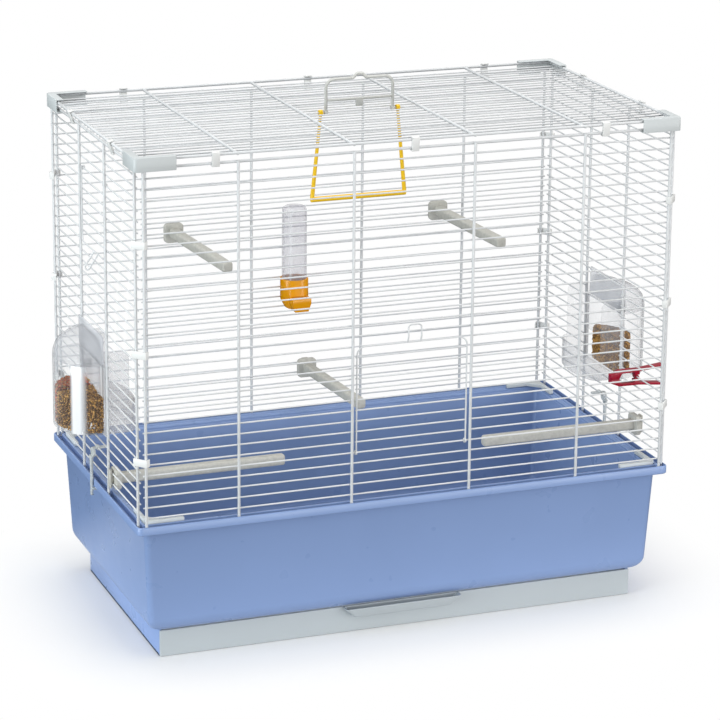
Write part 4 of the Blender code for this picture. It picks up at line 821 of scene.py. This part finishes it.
def make_drawer():
    """A front with a hollow scoop to pull, and an open pan behind it."""
    bm = bmesh.new()
    soft_box(bm, (-DRAWER_HALF, DRAWER_FACE, DRAWER_LOW),
             (DRAWER_HALF, DRAWER_INSIDE, DRAWER_TOP), DRAWER_EDGE)
    pan = round_slab(PAN_HALF, (PAN_BACK - PAN_FRONT) / 2, PAN_CORNER, PAN_LOW, PAN_TOP,
                     (0, (PAN_BACK + PAN_FRONT) / 2), 4)
    hollowed(pan, PAN_WALL, PAN_TOP - PAN_LOW - PAN_WALL)
    round_sharp(pan, SOFT_EDGE)
    merged_into(bm, pan)
    scoop = round_slab(*SCOOP_HALF, SCOOP_CORNER, DRAWER_TOP - SCOOP_RISE, DRAWER_TOP,
                       (0, DRAWER_FACE - SCOOP_OUT), CORNER_STEPS)
    about_face = Matrix.Translation((0, -DRAWER_FACE, 0))
    bmesh.ops.scale(scoop, verts=top_face(scoop).verts, vec=SCOOP_FLARE, space=about_face)
    floor = hollowed(scoop, SCOOP_WALL, SCOOP_DEPTH)
    bmesh.ops.scale(scoop, verts=floor, vec=SCOOP_TAPER, space=about_face)
    round_sharp(scoop, SCOOP_EDGE, 3)
    merged_into(bm, scoop)
    put("drawer_moulding", bm, GREY, ("drawer",), "drawer")


# Corner caps, brackets, clips and latches

CAP_CORNER = 0.0035
JAW_EDGE = 0.0006


def make_small_mouldings():
    """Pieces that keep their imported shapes, with rounder outer corners on the caps."""
    for face in ("front", "back"):
        for side in ("left", "right"):
            node = "top_cap_%s_%s" % (face, side)
            low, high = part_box(node)
            corner = Vector((low.x if side == "left" else high.x,
                             low.y if face == "front" else high.y))

            def at_corner(edge, corner=corner):
                return all((vert.co.xy - corner).length < SOFT_EDGE for vert in edge.verts)

            bm = copied(node)
            round_sharp(bm, CAP_CORNER, 5, pick=at_corner)
            round_sharp(bm, EDGE)
            put(node + "_moulding", bm, CAP_GREY, (node,))
            dress("foot_bracket_%s_%s" % (face, side), CAP_GREY, SOFT_EDGE)
    for node in sorted(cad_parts):
        if "_clip_" in node and "food" not in node:
            dress(node, WHITE, TINY_EDGE)
    for node in ("food_clip_upper_jaw", "food_clip_lower_jaw"):
        dress(node, RED, JAW_EDGE, 3, node)


PIVOT_HEIGHT = side_row(2)
LATCH_FACE = 0.2984
LATCH_RING_BORE = 0.0021
LATCH_RING_OUTER = 0.0055
LATCH_RING_WIDTH = 0.0030
LATCH_RING_DROP = 0.0046
LATCH_COLLAR = 0.0060
LATCH_ARM_FACE = 0.3005
LATCH_ARM_THICK = 0.0028
LATCH_ARM_TOP = PIVOT_HEIGHT - 0.0085
LATCH_SHOULDER = PIVOT_HEIGHT - 0.0110
LATCH_WAIST = PIVOT_HEIGHT - 0.0200
LATCH_TIP = 0.1362
LATCH_TIP_ROUND = 0.0010
LATCH_EDGE = 0.0007
LATCH_HOOK = ((0.2935, -0.0021, 0.1422), (0.3020, 0.0021, 0.1452))

# The arm's outline, seen along X: place along Y and height
LATCH_OUTLINE = (
    (-0.0052, PIVOT_HEIGHT), (-0.0032, LATCH_SHOULDER), (-0.0019, LATCH_WAIST),
    (-0.0017, LATCH_TIP + LATCH_TIP_ROUND), (-0.0008, LATCH_TIP), (0.0008, LATCH_TIP),
    (0.0017, LATCH_TIP + LATCH_TIP_ROUND), (0.0021, LATCH_WAIST), (0.0040, LATCH_SHOULDER),
    (0.0052, PIVOT_HEIGHT))

# The blocks that join the ring to its collar, two corners each from the pivot
LATCH_PARTS = (((0.2916, -0.0026, -0.0010), (0.2933, 0.0026, 0.0010)),
               ((0.2845, -0.0026, -0.0010), (0.2925, 0.0026, 0.0010)),
               ((0.2960, -0.0026, -0.0007), (0.2995, 0.0026, 0.0007)))


def make_latches():
    """A ring-shaped head that turns on a thin wire, and a tapered arm with a hook."""
    for side, node in ((-1, "latch_left"), (1, "latch_right")):
        bm = bmesh.new()
        centre = (LATCH_FACE + LATCH_RING_WIDTH / 2, 0, PIVOT_HEIGHT - LATCH_RING_DROP)
        rounded_eye(bm, centre, (1, 0, 0), LATCH_RING_BORE, LATCH_RING_OUTER,
                    LATCH_RING_WIDTH, SOFT_EDGE, 28)
        arm = [(LATCH_ARM_FACE, y, min(z, LATCH_ARM_TOP)) for y, z in LATCH_OUTLINE]
        merged_into(bm, slab(arm, (LATCH_ARM_THICK, 0, 0), LATCH_EDGE, 3))
        soft_box(bm, *LATCH_HOOK, SOFT_EDGE)
        for low, high in LATCH_PARTS:
            lift = Vector((0, 0, PIVOT_HEIGHT))
            soft_box(bm, Vector(low) + lift, Vector(high) + lift, TINY_EDGE, 2)
        rounded_eye(bm, (THIN_X, 0, PIVOT_HEIGHT), (0, 1, 0), EYE_BORE, EYE_OUTER,
                    LATCH_COLLAR, TINY_EDGE)
        if side < 0:
            mirror_x(bm)
        put(node + "_moulding", bm, CAP_GREY, (node,), node)


# Perches, swing and handle

PERCH_HALF = 0.0058
PERCH_CORNER = 0.0034
PERCH_END = 0.0022
HEAD_HALF = 0.011
HEAD_CORNER = 0.0044
HEAD_THICK = 0.0065
HEAD_EDGE = 0.0014
NECK_HALF = (0.0026, 0.0042)
NECK_SINK = 0.001
NECK_OUT = 0.0038
HOOK_HALF = (0.004, 0.010)
HOOK_OUT = (0.0023, 0.0049)
HOOK_EDGE = 0.0010

# Place on the panel, way out of the cage, length and sideways lean in degrees
PERCHES = {
    "perch_upper_left": ((-0.160, 0.1589, 0.37575), (0, 1, 0), 0.162, 4),
    "perch_upper_right": ((0.157, 0.1589, 0.37575), (0, 1, 0), 0.162, 4),
    "perch_middle": ((-0.002, 0.1589, 0.20325), (0, 1, 0), 0.152, 4),
    "perch_lower_left": ((-0.2934, -0.0535, 0.17222), (-1, 0, 0), 0.190, 0),
    "perch_lower_right": ((0.2934, -0.1000, 0.18365), (1, 0, 0), 0.185, 0),
}


def pointed(place, way):
    """Matrix that turns a shape's Z axis to a level way, with its Y axis up."""
    turn = Matrix((UP.cross(way), UP, way)).transposed().to_4x4()
    return Matrix.Translation(place) @ turn


def make_perches():
    """A rounded square rod, a head inside the panel and a hook plate outside it."""
    for node, (face, out, length, lean) in PERCHES.items():
        out = Vector(out)
        face = Vector(face)
        inward = Matrix.Rotation(radians(lean), 3, "Z") @ -out
        bm = bmesh.new()
        rod = round_slab(PERCH_HALF, PERCH_HALF, PERCH_CORNER, HEAD_THICK / 2, length)
        round_sharp(rod, PERCH_END, 4)
        bmesh.ops.transform(rod, matrix=pointed(face, inward), verts=rod.verts)
        merged_into(bm, rod)
        fitting = bmesh.new()
        plate = round_slab(HEAD_HALF, HEAD_HALF, HEAD_CORNER, 0, HEAD_THICK)
        round_sharp(plate, HEAD_EDGE, 3)
        merged_into(fitting, plate)
        soft_box(fitting, (-NECK_HALF[0], -NECK_HALF[1], HEAD_THICK - NECK_SINK),
                 (*NECK_HALF, HEAD_THICK + NECK_OUT), EDGE, 2)
        soft_box(fitting, (-HOOK_HALF[0], -HOOK_HALF[1], HEAD_THICK + HOOK_OUT[0]),
                 (*HOOK_HALF, HEAD_THICK + HOOK_OUT[1]), HOOK_EDGE)
        place = pointed(face - out * HEAD_THICK, out)
        bmesh.ops.transform(fitting, matrix=place, verts=fitting.verts)
        merged_into(bm, fitting)
        put(node + "_moulding", bm, PERCH, (node,))


RING_WIDTH = 0.0040
SWING_FOOT = 0.4389
SWING_BAR = 0.0029
SWING_BAR_END = 0.0015
SWING_BAR_ROUND = 0.0012
SWING_HALF = 0.0532
SWING_TOP_HALF = 0.044
SWING_TOP_DROP = 0.0023
SWING_ARM_LOW = 0.0023
SWING_ARM_HIGH = 0.0016
SWING_EYE = 0.0033


def make_swing():
    """Two arms that thicken towards the bar, and an eye on top of each."""
    bm = bmesh.new()
    top = TOP_THIN_HEIGHT - SWING_TOP_DROP
    low = SWING_FOOT + SWING_BAR
    for side in (-1, 1):
        start = Vector((side * SWING_HALF, 0, low))
        end = Vector((side * SWING_TOP_HALF, 0, top))
        merged_into(bm, rod(start, end, SWING_ARM_LOW, SWING_ARM_HIGH, 20))
        rounded_eye(bm, (side * SWING_TOP_HALF, 0, TOP_THIN_HEIGHT), (1, 0, 0), EYE_BORE,
                    SWING_EYE, RING_WIDTH, EDGE)
    end = Vector((SWING_HALF + SWING_BAR_END, 0, low))
    bar = rod(Vector((-end.x, 0, low)), end, SWING_BAR, SWING_BAR, 24)
    round_sharp(bar, SWING_BAR_ROUND, 4)
    merged_into(bm, bar)
    put("swing_moulding", bm, YELLOW, ("swing",), "swing")


HANDLE_HALF = 0.038
HANDLE_FOOT = TOP_THIN_HEIGHT + 0.0019
HANDLE_BAR = 0.5715
HANDLE_HUMP = 0.5761
HUMP_HALF = 0.0030
HUMP_FOOT_HALF = 0.0078
HANDLE_BEND = 0.009
HUMP_BEND = 0.0020
HANDLE_RADIUS = 0.00175
CROSSBAR_RADIUS = 0.0015
CROSSBAR_HEIGHT = 0.549
TONGUE_HALF = (0.0040, 0.0015)
TONGUE_LOW = 0.541
TONGUE_EDGE = 0.0006


def make_handle():
    """A bent rod with a hump, a crossbar with a tongue, and two eyes."""
    bm = bmesh.new()
    half = ((HANDLE_HALF, HANDLE_FOOT), (HANDLE_HALF, HANDLE_BAR),
            (HUMP_FOOT_HALF, HANDLE_BAR), (HUMP_HALF, HANDLE_HUMP))
    points = [(-x, 0, z) for x, z in half] + [(x, 0, z) for x, z in half[::-1]]
    path = bend(points[:3], HANDLE_BEND)[:-1]
    path += bend(points[1:7], HUMP_BEND, 4)[1:-1]
    path += bend(points[5:], HANDLE_BEND)[1:]
    tube(bm, path, HANDLE_RADIUS, 4)
    wire(bm, (-HANDLE_HALF, 0, CROSSBAR_HEIGHT), (HANDLE_HALF, 0, CROSSBAR_HEIGHT),
         CROSSBAR_RADIUS, 16)
    soft_box(bm, (-TONGUE_HALF[0], -TONGUE_HALF[1], TONGUE_LOW),
             (*TONGUE_HALF, CROSSBAR_HEIGHT), TONGUE_EDGE)
    for side in (-1, 1):
        rounded_eye(bm, (side * HANDLE_HALF, 0, TOP_THIN_HEIGHT), (1, 0, 0), EYE_BORE,
                    EYE_OUTER, RING_WIDTH, TINY_EDGE)
    put("carry_handle_moulding", bm, HANDLE, ("carry_handle",),
        "carry_handle")


# Drinker

DRINKER_X = -0.0217
DRINKER_Y = 0.1436
BOTTLE_TOP = 0.3985
BOTTLE_WALL = 0.0012
CUP_TOP = 0.3150
CUP_WAIST = 0.2905
CUP_TAPER = 0.30
CUP_EDGE = 0.0006

# Radius and height of each point of the bottle's section, outside and then inside
BOTTLE_SECTION = (
    (0, BOTTLE_TOP), (0.0085, 0.3984), (0.0112, 0.3979), (0.0129, 0.3965), (0.0138, 0.3943),
    (0.0140, 0.3915), (0.0140, 0.3030), (0.0128, 0.3030), (0.0128, 0.3915), (0.0126, 0.3938),
    (0.0119, 0.3955), (0.0105, 0.3966), (0.0083, 0.3972), (0, BOTTLE_TOP - BOTTLE_WALL))


def make_drinker():
    """The bottle, turned from its section, and the cup with a narrower foot."""
    bm = bmesh.new()
    verts = [bm.verts.new((DRINKER_X + radius, DRINKER_Y, height))
             for radius, height in BOTTLE_SECTION]
    edges = [bm.edges.new(pair) for pair in zip(verts, verts[1:])]
    bmesh.ops.spin(bm, geom=verts + edges, cent=(DRINKER_X, DRINKER_Y, 0), axis=UP,
                   angle=tau, steps=40, use_merge=True)
    bmesh.ops.remove_doubles(bm, verts=bm.verts, dist=MERGE)
    bmesh.ops.recalc_face_normals(bm, faces=bm.faces)
    put("drinker_bottle", bm, BOTTLE, ("drinker_tube",), "drinker_tube")
    bm = copied("drinker_cup")
    bmesh.ops.bisect_plane(bm, geom=bm.verts[:] + bm.edges[:] + bm.faces[:],
                           plane_co=(0, 0, CUP_WAIST), plane_no=UP, dist=MERGE)
    foot = min(vert.co.z for vert in bm.verts)
    for vert in bm.verts:
        if vert.co.z > CUP_TOP:
            vert.co.z = CUP_TOP
        share = max(0, (CUP_WAIST - vert.co.z) / (CUP_WAIST - foot))
        vert.co.x += (DRINKER_X - vert.co.x) * CUP_TAPER * share
    round_sharp(bm, CUP_EDGE, 2, SMOOTH_ANGLE)
    put("drinker_cup_moulding", bm, ORANGE, ("drinker_cup",))


# Seed in the feeders

SEED_STEP = 0.0023
SEED_SIZE = 0.0016
SEED_SQUEEZE = (1.0, 0.8, 0.7, 1)
SEED_COLUMNS = 22
SEED_LAYERS = (1.0, 0.93)
SEED_BACK = 0.0006
SEED_SIDE = 0.0028
SEED_NEAREST = 0.0026
SEED_CROWN = 0.004
SEED_LIFT = 0.0006
CHAMBER_FLOOR = 0.2212
HOPPER_FACE = 0.3003
SEED_TOPS = {"left": {-1: 0.256, 1: 0.259}, "right": {-1: 0.260, 1: 0.258}}
SEED_REACH = {"left": (0.0374, 0.0436), "right": (0.0240, 0.0340)}

# The husks to draw from in each chamber
SEED_FILL = {("left", -1): (0, 0, 1, 1), ("left", 1): (0, 1, 2, 2),
             ("right", -1): (0, 0, 1), ("right", 1): (0, 1, 1)}


def seeds_in(side, chamber):
    """Loose seed along the walls of one chamber, and over the top of the heap."""
    bm = bmesh.new()
    bmesh.ops.create_icosphere(bm, subdivisions=1, radius=SEED_SIZE)
    template = kept_mesh(bm, "seed_template")
    heaps = [bmesh.new() for _ in HUSKS]
    kinds = SEED_FILL[side, chamber]
    way = -1 if side == "left" else 1
    top = SEED_TOPS[side][chamber]
    reach_out, reach_across = SEED_REACH[side]
    places = []

    def add_seed(share, depth, height):
        angle = pi / 2 * share
        places.append((reach_out * depth * cos(angle),
                       reach_across * depth * sin(angle), height))

    height = CHAMBER_FLOOR
    while height < top:
        for step in range(SEED_COLUMNS):
            share = (step + random.random()) / SEED_COLUMNS
            for depth in SEED_LAYERS:
                add_seed(share, depth, height)
            places.append((SEED_BACK, reach_across * share, height))
            places.append((reach_out * share, SEED_SIDE, height))
        height += SEED_STEP
    for step in range(SEED_COLUMNS * SEED_COLUMNS):
        share = random.random()
        depth = sqrt(random.random())
        add_seed(share, depth, top + SEED_CROWN * (1 - depth))
    squeeze = Matrix.Diagonal(SEED_SQUEEZE)
    for out, across, height in places:
        across = max(across, SEED_NEAREST)
        lift = random.uniform(-SEED_LIFT, SEED_LIFT)
        place = Vector((way * (HOPPER_FACE + out), chamber * across, height + lift))
        turn = Matrix.Rotation(random.uniform(0, tau), 4,
                               Vector((random.random(), random.random(), 1)))
        stamp(heaps[random.choice(kinds)], template, Matrix.Translation(place) @ turn @ squeeze)
    for number, (heap, material) in enumerate(zip(heaps, HUSKS)):
        if not heap.faces:
            heap.free()
            continue
        name = "seed_%s_%s_%d" % (side, "front" if chamber < 0 else "back", number)
        put(name, heap, material)


# Feeders

ROOT = 0.2984
CLEAR_WALL = 0.0015
CURVE_STEPS = 28
CURVE_ANGLE = 50
WALL_ROUND = 0.35
PLATE_ROUND = 0.4
GUARD_CORNER = 0.007
GUARD_STEPS = 8
GUARD_LOW = 0.21807
GUARD_HIGH = 0.3080
GUARD_INNER = 0.2722
GUARD_HALF = 0.0452
HOPPER_HIGH = 0.2930
HOPPER_DEPTH = 0.0426
HOPPER_HALF = 0.0470
GATE_LOW = 0.25207
GATE_THICK = 0.0014
DIVIDER_HALF = 0.0007
DIVIDER_START = ROOT + 0.0016
DIVIDER_DROP = 0.004
LIP_HIGH = 0.24807
LIP_DEPTH = 0.0150
FRAME_HALF = 0.0009
FRAME_APART = 0.0008
FRAME_SINK = 0.0002
FRAME_OUT = 0.0018
LID_FOOT = 0.2933
LID_FACE = 0.29945
LID_RISE = 0.0320
FLANGE_TOP = 0.3256
FLANGE_HALF = 0.0455
FLANGE_LIFT = 0.0003
FLANGE_SHIFT = 0.0002
FLANGE_CORNER = 0.0025

# Shares of depth and width that each ring of the lid loses, and of its rise that it reaches
LID_RINGS = ((0.0, 0.0, 0.0), (0.02, 0.01, 0.22), (0.07, 0.04, 0.40), (0.16, 0.09, 0.54),
             (0.30, 0.16, 0.66), (0.50, 0.25, 0.76), (0.82, 0.40, 0.84))


def half_round(depth, half_width, face, way=1):
    """A half ellipse that starts at a face and bulges along X."""
    points = []
    for step in range(CURVE_STEPS + 1):
        angle = pi * (step / CURVE_STEPS - 0.5)
        points.append((face + way * depth * cos(angle), half_width * sin(angle)))
    return points


def bent_wall(depth, half_width, face, low, high, way=1):
    """An upright wall along a half ellipse."""
    outer = half_round(depth, half_width, face, way)
    inner = half_round(depth - CLEAR_WALL, half_width - CLEAR_WALL, face, way)
    return slab([(x, y, low) for x, y in outer + inner[::-1]], (0, 0, high - low),
                CLEAR_WALL * WALL_ROUND, 3, CURVE_ANGLE)


def bowed_plate(depth, half_width, face, way=1):
    """A level plate inside a half ellipse, at the feeder's foot."""
    return slab([(x, y, GUARD_LOW) for x, y in half_round(depth, half_width, face, way)],
                (0, 0, CLEAR_WALL), CLEAR_WALL * PLATE_ROUND, 3, CURVE_ANGLE)


def guard_plate(y):
    """A flat side of the guard, its top inner corner rounded."""
    points = [(ROOT, GUARD_LOW), (ROOT, GUARD_HIGH)]
    for step in range(GUARD_STEPS + 1):
        angle = pi / 2 * step / GUARD_STEPS
        points.append((GUARD_INNER + GUARD_CORNER * (1 - sin(angle)),
                       GUARD_HIGH - GUARD_CORNER * (1 - cos(angle))))
    points.append((GUARD_INNER, GUARD_LOW))
    return slab([(x, y, z) for x, z in points], (0, CLEAR_WALL, 0), EDGE)


def dome(inset, face):
    """The rings of points of a lid's outer or inner side."""
    rings = []
    for narrow, slim, rise in LID_RINGS:
        depth = (HOPPER_DEPTH * (1 - narrow)) - (face - ROOT) - inset
        half_width = HOPPER_HALF * (1 - slim) - inset
        height = LID_FOOT + (LID_RISE - inset) * rise
        rings.append([(x, y, height) for x, y in half_round(depth, half_width, face)])
    return rings


def make_lid_shell():
    """An outer and an inner dome, bridged ring by ring and closed on top."""
    bm = bmesh.new()
    outside = dome(0, LID_FACE)
    inside = dome(CLEAR_WALL, LID_FACE + CLEAR_WALL)
    loops = []
    for points in inside[::-1] + outside:
        loops.append(closed_loop(bm, points)[1])
    for lower, upper in zip(loops, loops[1:]):
        bmesh.ops.bridge_loops(bm, edges=lower + upper)
    for loop in (loops[0], loops[-1]):
        bmesh.ops.contextual_create(bm, geom=loop)
    bmesh.ops.recalc_face_normals(bm, faces=bm.faces)
    return bm


def make_flange():
    """The upright board along the lid's inner face, its corners rounded."""
    bm = bmesh.new()
    plain_box(bm, (LID_FACE + FLANGE_SHIFT, -FLANGE_HALF, LID_FOOT + FLANGE_LIFT),
              (LID_FACE + CLEAR_WALL + FLANGE_SHIFT, FLANGE_HALF, FLANGE_TOP))
    corners = [edge for edge in bm.edges
               if abs(edge.verts[0].co.x - edge.verts[1].co.x) > MERGE]
    bevel(bm, corners, FLANGE_CORNER, 5)
    round_sharp(bm, EDGE)
    return bm


def add_part(name, parts, material, side, nodes=(), body=BODY):
    """Put joined shapes of the right feeder, mirrored for the left one."""
    bm = bmesh.new()
    for part in parts:
        merged_into(bm, part)
    if side == "left":
        mirror_x(bm)
    put(name, bm, material, nodes, body)


def make_feeders():
    wall = CLEAR_WALL
    half = GUARD_HALF
    floor = GUARD_LOW + wall
    frame_top = HOPPER_HIGH - FRAME_SINK
    for side in ("left", "right"):
        name = "feeder_" + side
        hopper = (bent_wall(HOPPER_DEPTH, HOPPER_HALF, ROOT, GUARD_LOW, HOPPER_HIGH),
                  bowed_plate(HOPPER_DEPTH - wall, HOPPER_HALF - wall, ROOT),
                  boxed((ROOT, -half, GATE_LOW), (ROOT + GATE_THICK, half, HOPPER_HIGH)),
                  boxed((DIVIDER_START, -DIVIDER_HALF, floor),
                        (ROOT + HOPPER_DEPTH - wall, DIVIDER_HALF,
                         HOPPER_HIGH - DIVIDER_DROP)))
        add_part(name + "_hopper", hopper, HIGHLIGHT_PAINTED_CLEAR if side == "left" else GLASSY, side, (name,))
        guard = (guard_plate(-half), guard_plate(half - wall),
                 boxed((GUARD_INNER, -half + wall, GUARD_LOW), (ROOT, half - wall, floor)),
                 bowed_plate(LIP_DEPTH, half, GUARD_INNER, -1),
                 bent_wall(LIP_DEPTH, half, GUARD_INNER, GUARD_LOW, LIP_HIGH, -1))
        add_part(name + "_guard", guard, GUARD if side == "left" else LID, side)
        edges = [boxed((ROOT - FRAME_SINK, y - FRAME_HALF, GUARD_LOW),
                       (ROOT + FRAME_OUT, y + FRAME_HALF, frame_top))
                 for y in (-half - FRAME_APART, half + FRAME_APART)]
        edges.append(boxed((ROOT + FRAME_SINK, -half, HOPPER_HIGH - FRAME_OUT),
                           (ROOT + FRAME_OUT, half, frame_top)))
        add_part(name + "_frame", edges, FRAME, side)
        node = "feeder_lid_" + side
        add_part(node + "_dome", (make_lid_shell(),), LID, side, (node,), node)
        add_part(node + "_flange", (make_flange(),), FIN, side, (), node)
        for chamber in (-1, 1):
            seeds_in(side, chamber)


make_panels()
make_doors()
make_tray()
make_drawer()
make_small_mouldings()
make_latches()
make_perches()
make_swing()
make_handle()
make_drinker()
make_feeders()


# Floor, light and camera

FLOOR_HALF = 8
FLOOR_ROUGHNESS = 0.9
# The foot's half size, and the distances from it over which the floor turns from lit paint with a
# faint glow to plain white: a painted shadow falloff over the lamps' own shadow
FOOT_HALF = (0.272, 0.139, 0)
FLOOR_SHADOW = 0.02
FLOOR_WHITE = 0.15
FLOOR_GLOW = 0.14
FLOOR_PAINT = 0.78
SKY_COLOUR = (0.98, 0.99, 1, 1)
SKY_STRENGTH = 0.58
PURE_WHITE = (1, 1, 1, 1)
COOL = (0.90, 0.97, 1.0)
NEUTRAL = (1, 1, 1)

# Name, place, target, width and height, power and colour
SOFTBOXES = (
    ("left_window", (-2.6, -0.8, 1.1), (0, 0, 0.18), (1.6, 1.6), 27, COOL),
    ("low_left", (-2.0, -0.4, 0.20), (0, 0, 0.09), (1.4, 0.36), 19, COOL),
    ("front_window", (2.0, -1.7, 0.7), (0.25, 0, 0.12), (1.0, 1.0), 13, NEUTRAL),
    ("low_front", (0.7, -1.9, 0.19), (0.12, 0, 0.07), (2.0, 0.34), 18, NEUTRAL),
    ("top_panel", (0.2, 0.2, 2.6), (0, 0, 0.2), (2.2, 2.0), 40, NEUTRAL))


def make_floor():
    """A floor that shows the lamps' shadow near the cage, with a painted falloff: its white glow
    for the camera rises with distance from the foot, so it is plain white farther away.
    """
    bm = bmesh.new()
    bmesh.ops.create_grid(bm, x_segments=1, y_segments=1, size=FLOOR_HALF)
    mesh = kept_mesh(bm, "floor")
    material, tree, shader = new_material("white_floor", 0.0)
    shader.inputs["Roughness"].default_value = FLOOR_ROUGHNESS
    shader.inputs["Emission Color"].default_value = PURE_WHITE
    spot = tree.nodes.new("ShaderNodeTexCoord").outputs["Object"]
    for operation, *more in (("ABSOLUTE",), ("SUBTRACT", FOOT_HALF), ("MAXIMUM", (0, 0, 0))):
        spot = maths(tree, operation, spot, *more, kind="ShaderNodeVectorMath", output="Vector")
    away = maths(tree, "LENGTH", spot, kind="ShaderNodeVectorMath")
    # Painted shadow falloff: the glow rises and the lit paint fades with distance from the foot
    far = map_range(tree, away, From_Min=FLOOR_SHADOW, From_Max=FLOOR_WHITE)
    fade = map_range(tree, far, To_Min=FLOOR_GLOW, To_Max=1.0)
    glow = maths(tree, "MULTIPLY", fade, seen_directly(tree))
    paint = map_range(tree, far, To_Min=FLOOR_PAINT, To_Max=0.0)
    feed(tree, shader.inputs["Base Color"], paint)
    feed(tree, shader.inputs["Emission Strength"], glow)
    mesh.materials.append(material)
    floor = add_object("floor", mesh)


def make_world():
    """White where the camera looks past the cage, and a soft sky for its light."""
    world = bpy.data.worlds.new("studio")
    bpy.context.scene.world = world
    world.use_nodes = True
    tree = world.node_tree
    tree.nodes.clear()
    white = add_node(tree, "ShaderNodeBackground", Color=PURE_WHITE, Strength=1.0)
    soft = add_node(tree, "ShaderNodeBackground", Color=SKY_COLOUR, Strength=SKY_STRENGTH)
    mix = add_node(tree, "ShaderNodeMixShader", Fac=seen_directly(tree))
    feed(tree, mix.inputs[1], soft.outputs["Background"])
    feed(tree, mix.inputs[2], white.outputs["Background"])
    add_node(tree, "ShaderNodeOutputWorld", Surface=mix.outputs["Shader"])


def softbox(name, place, target, size, power, colour):
    light = bpy.data.lights.new(name, "AREA")
    light.shape = "RECTANGLE"
    light.size, light.size_y = size
    light.energy = power
    light.color = colour
    item = add_object(name, light)
    item.location = place
    item.rotation_euler = (Vector(target) - Vector(place)).to_track_quat("-Z", "Y").to_euler()


def make_camera():
    data = bpy.data.cameras.new("camera")
    data.sensor_width = SENSOR
    data.lens = CAMERA_FOCAL_PIXELS * SENSOR / IMAGE_PIXELS
    data.shift_x = (IMAGE_PIXELS / 2 - CAMERA_AXIS_PIXEL[0]) / IMAGE_PIXELS
    data.shift_y = (CAMERA_AXIS_PIXEL[1] - IMAGE_PIXELS / 2) / IMAGE_PIXELS
    camera = add_object("camera", data)
    place = Matrix.Translation(CAMERA_PLACE)
    for degrees, axis in ((-CAMERA_YAW, "Z"), (90 - CAMERA_PITCH, "X"), (CAMERA_ROLL, "Z")):
        place @= Matrix.Rotation(radians(degrees), 4, axis)
    camera.matrix_world = place
    bpy.context.scene.camera = camera


make_floor()
make_world()
for box in SOFTBOXES:
    softbox(*box)
make_camera()
bpy.context.scene.view_settings.view_transform = "Standard"
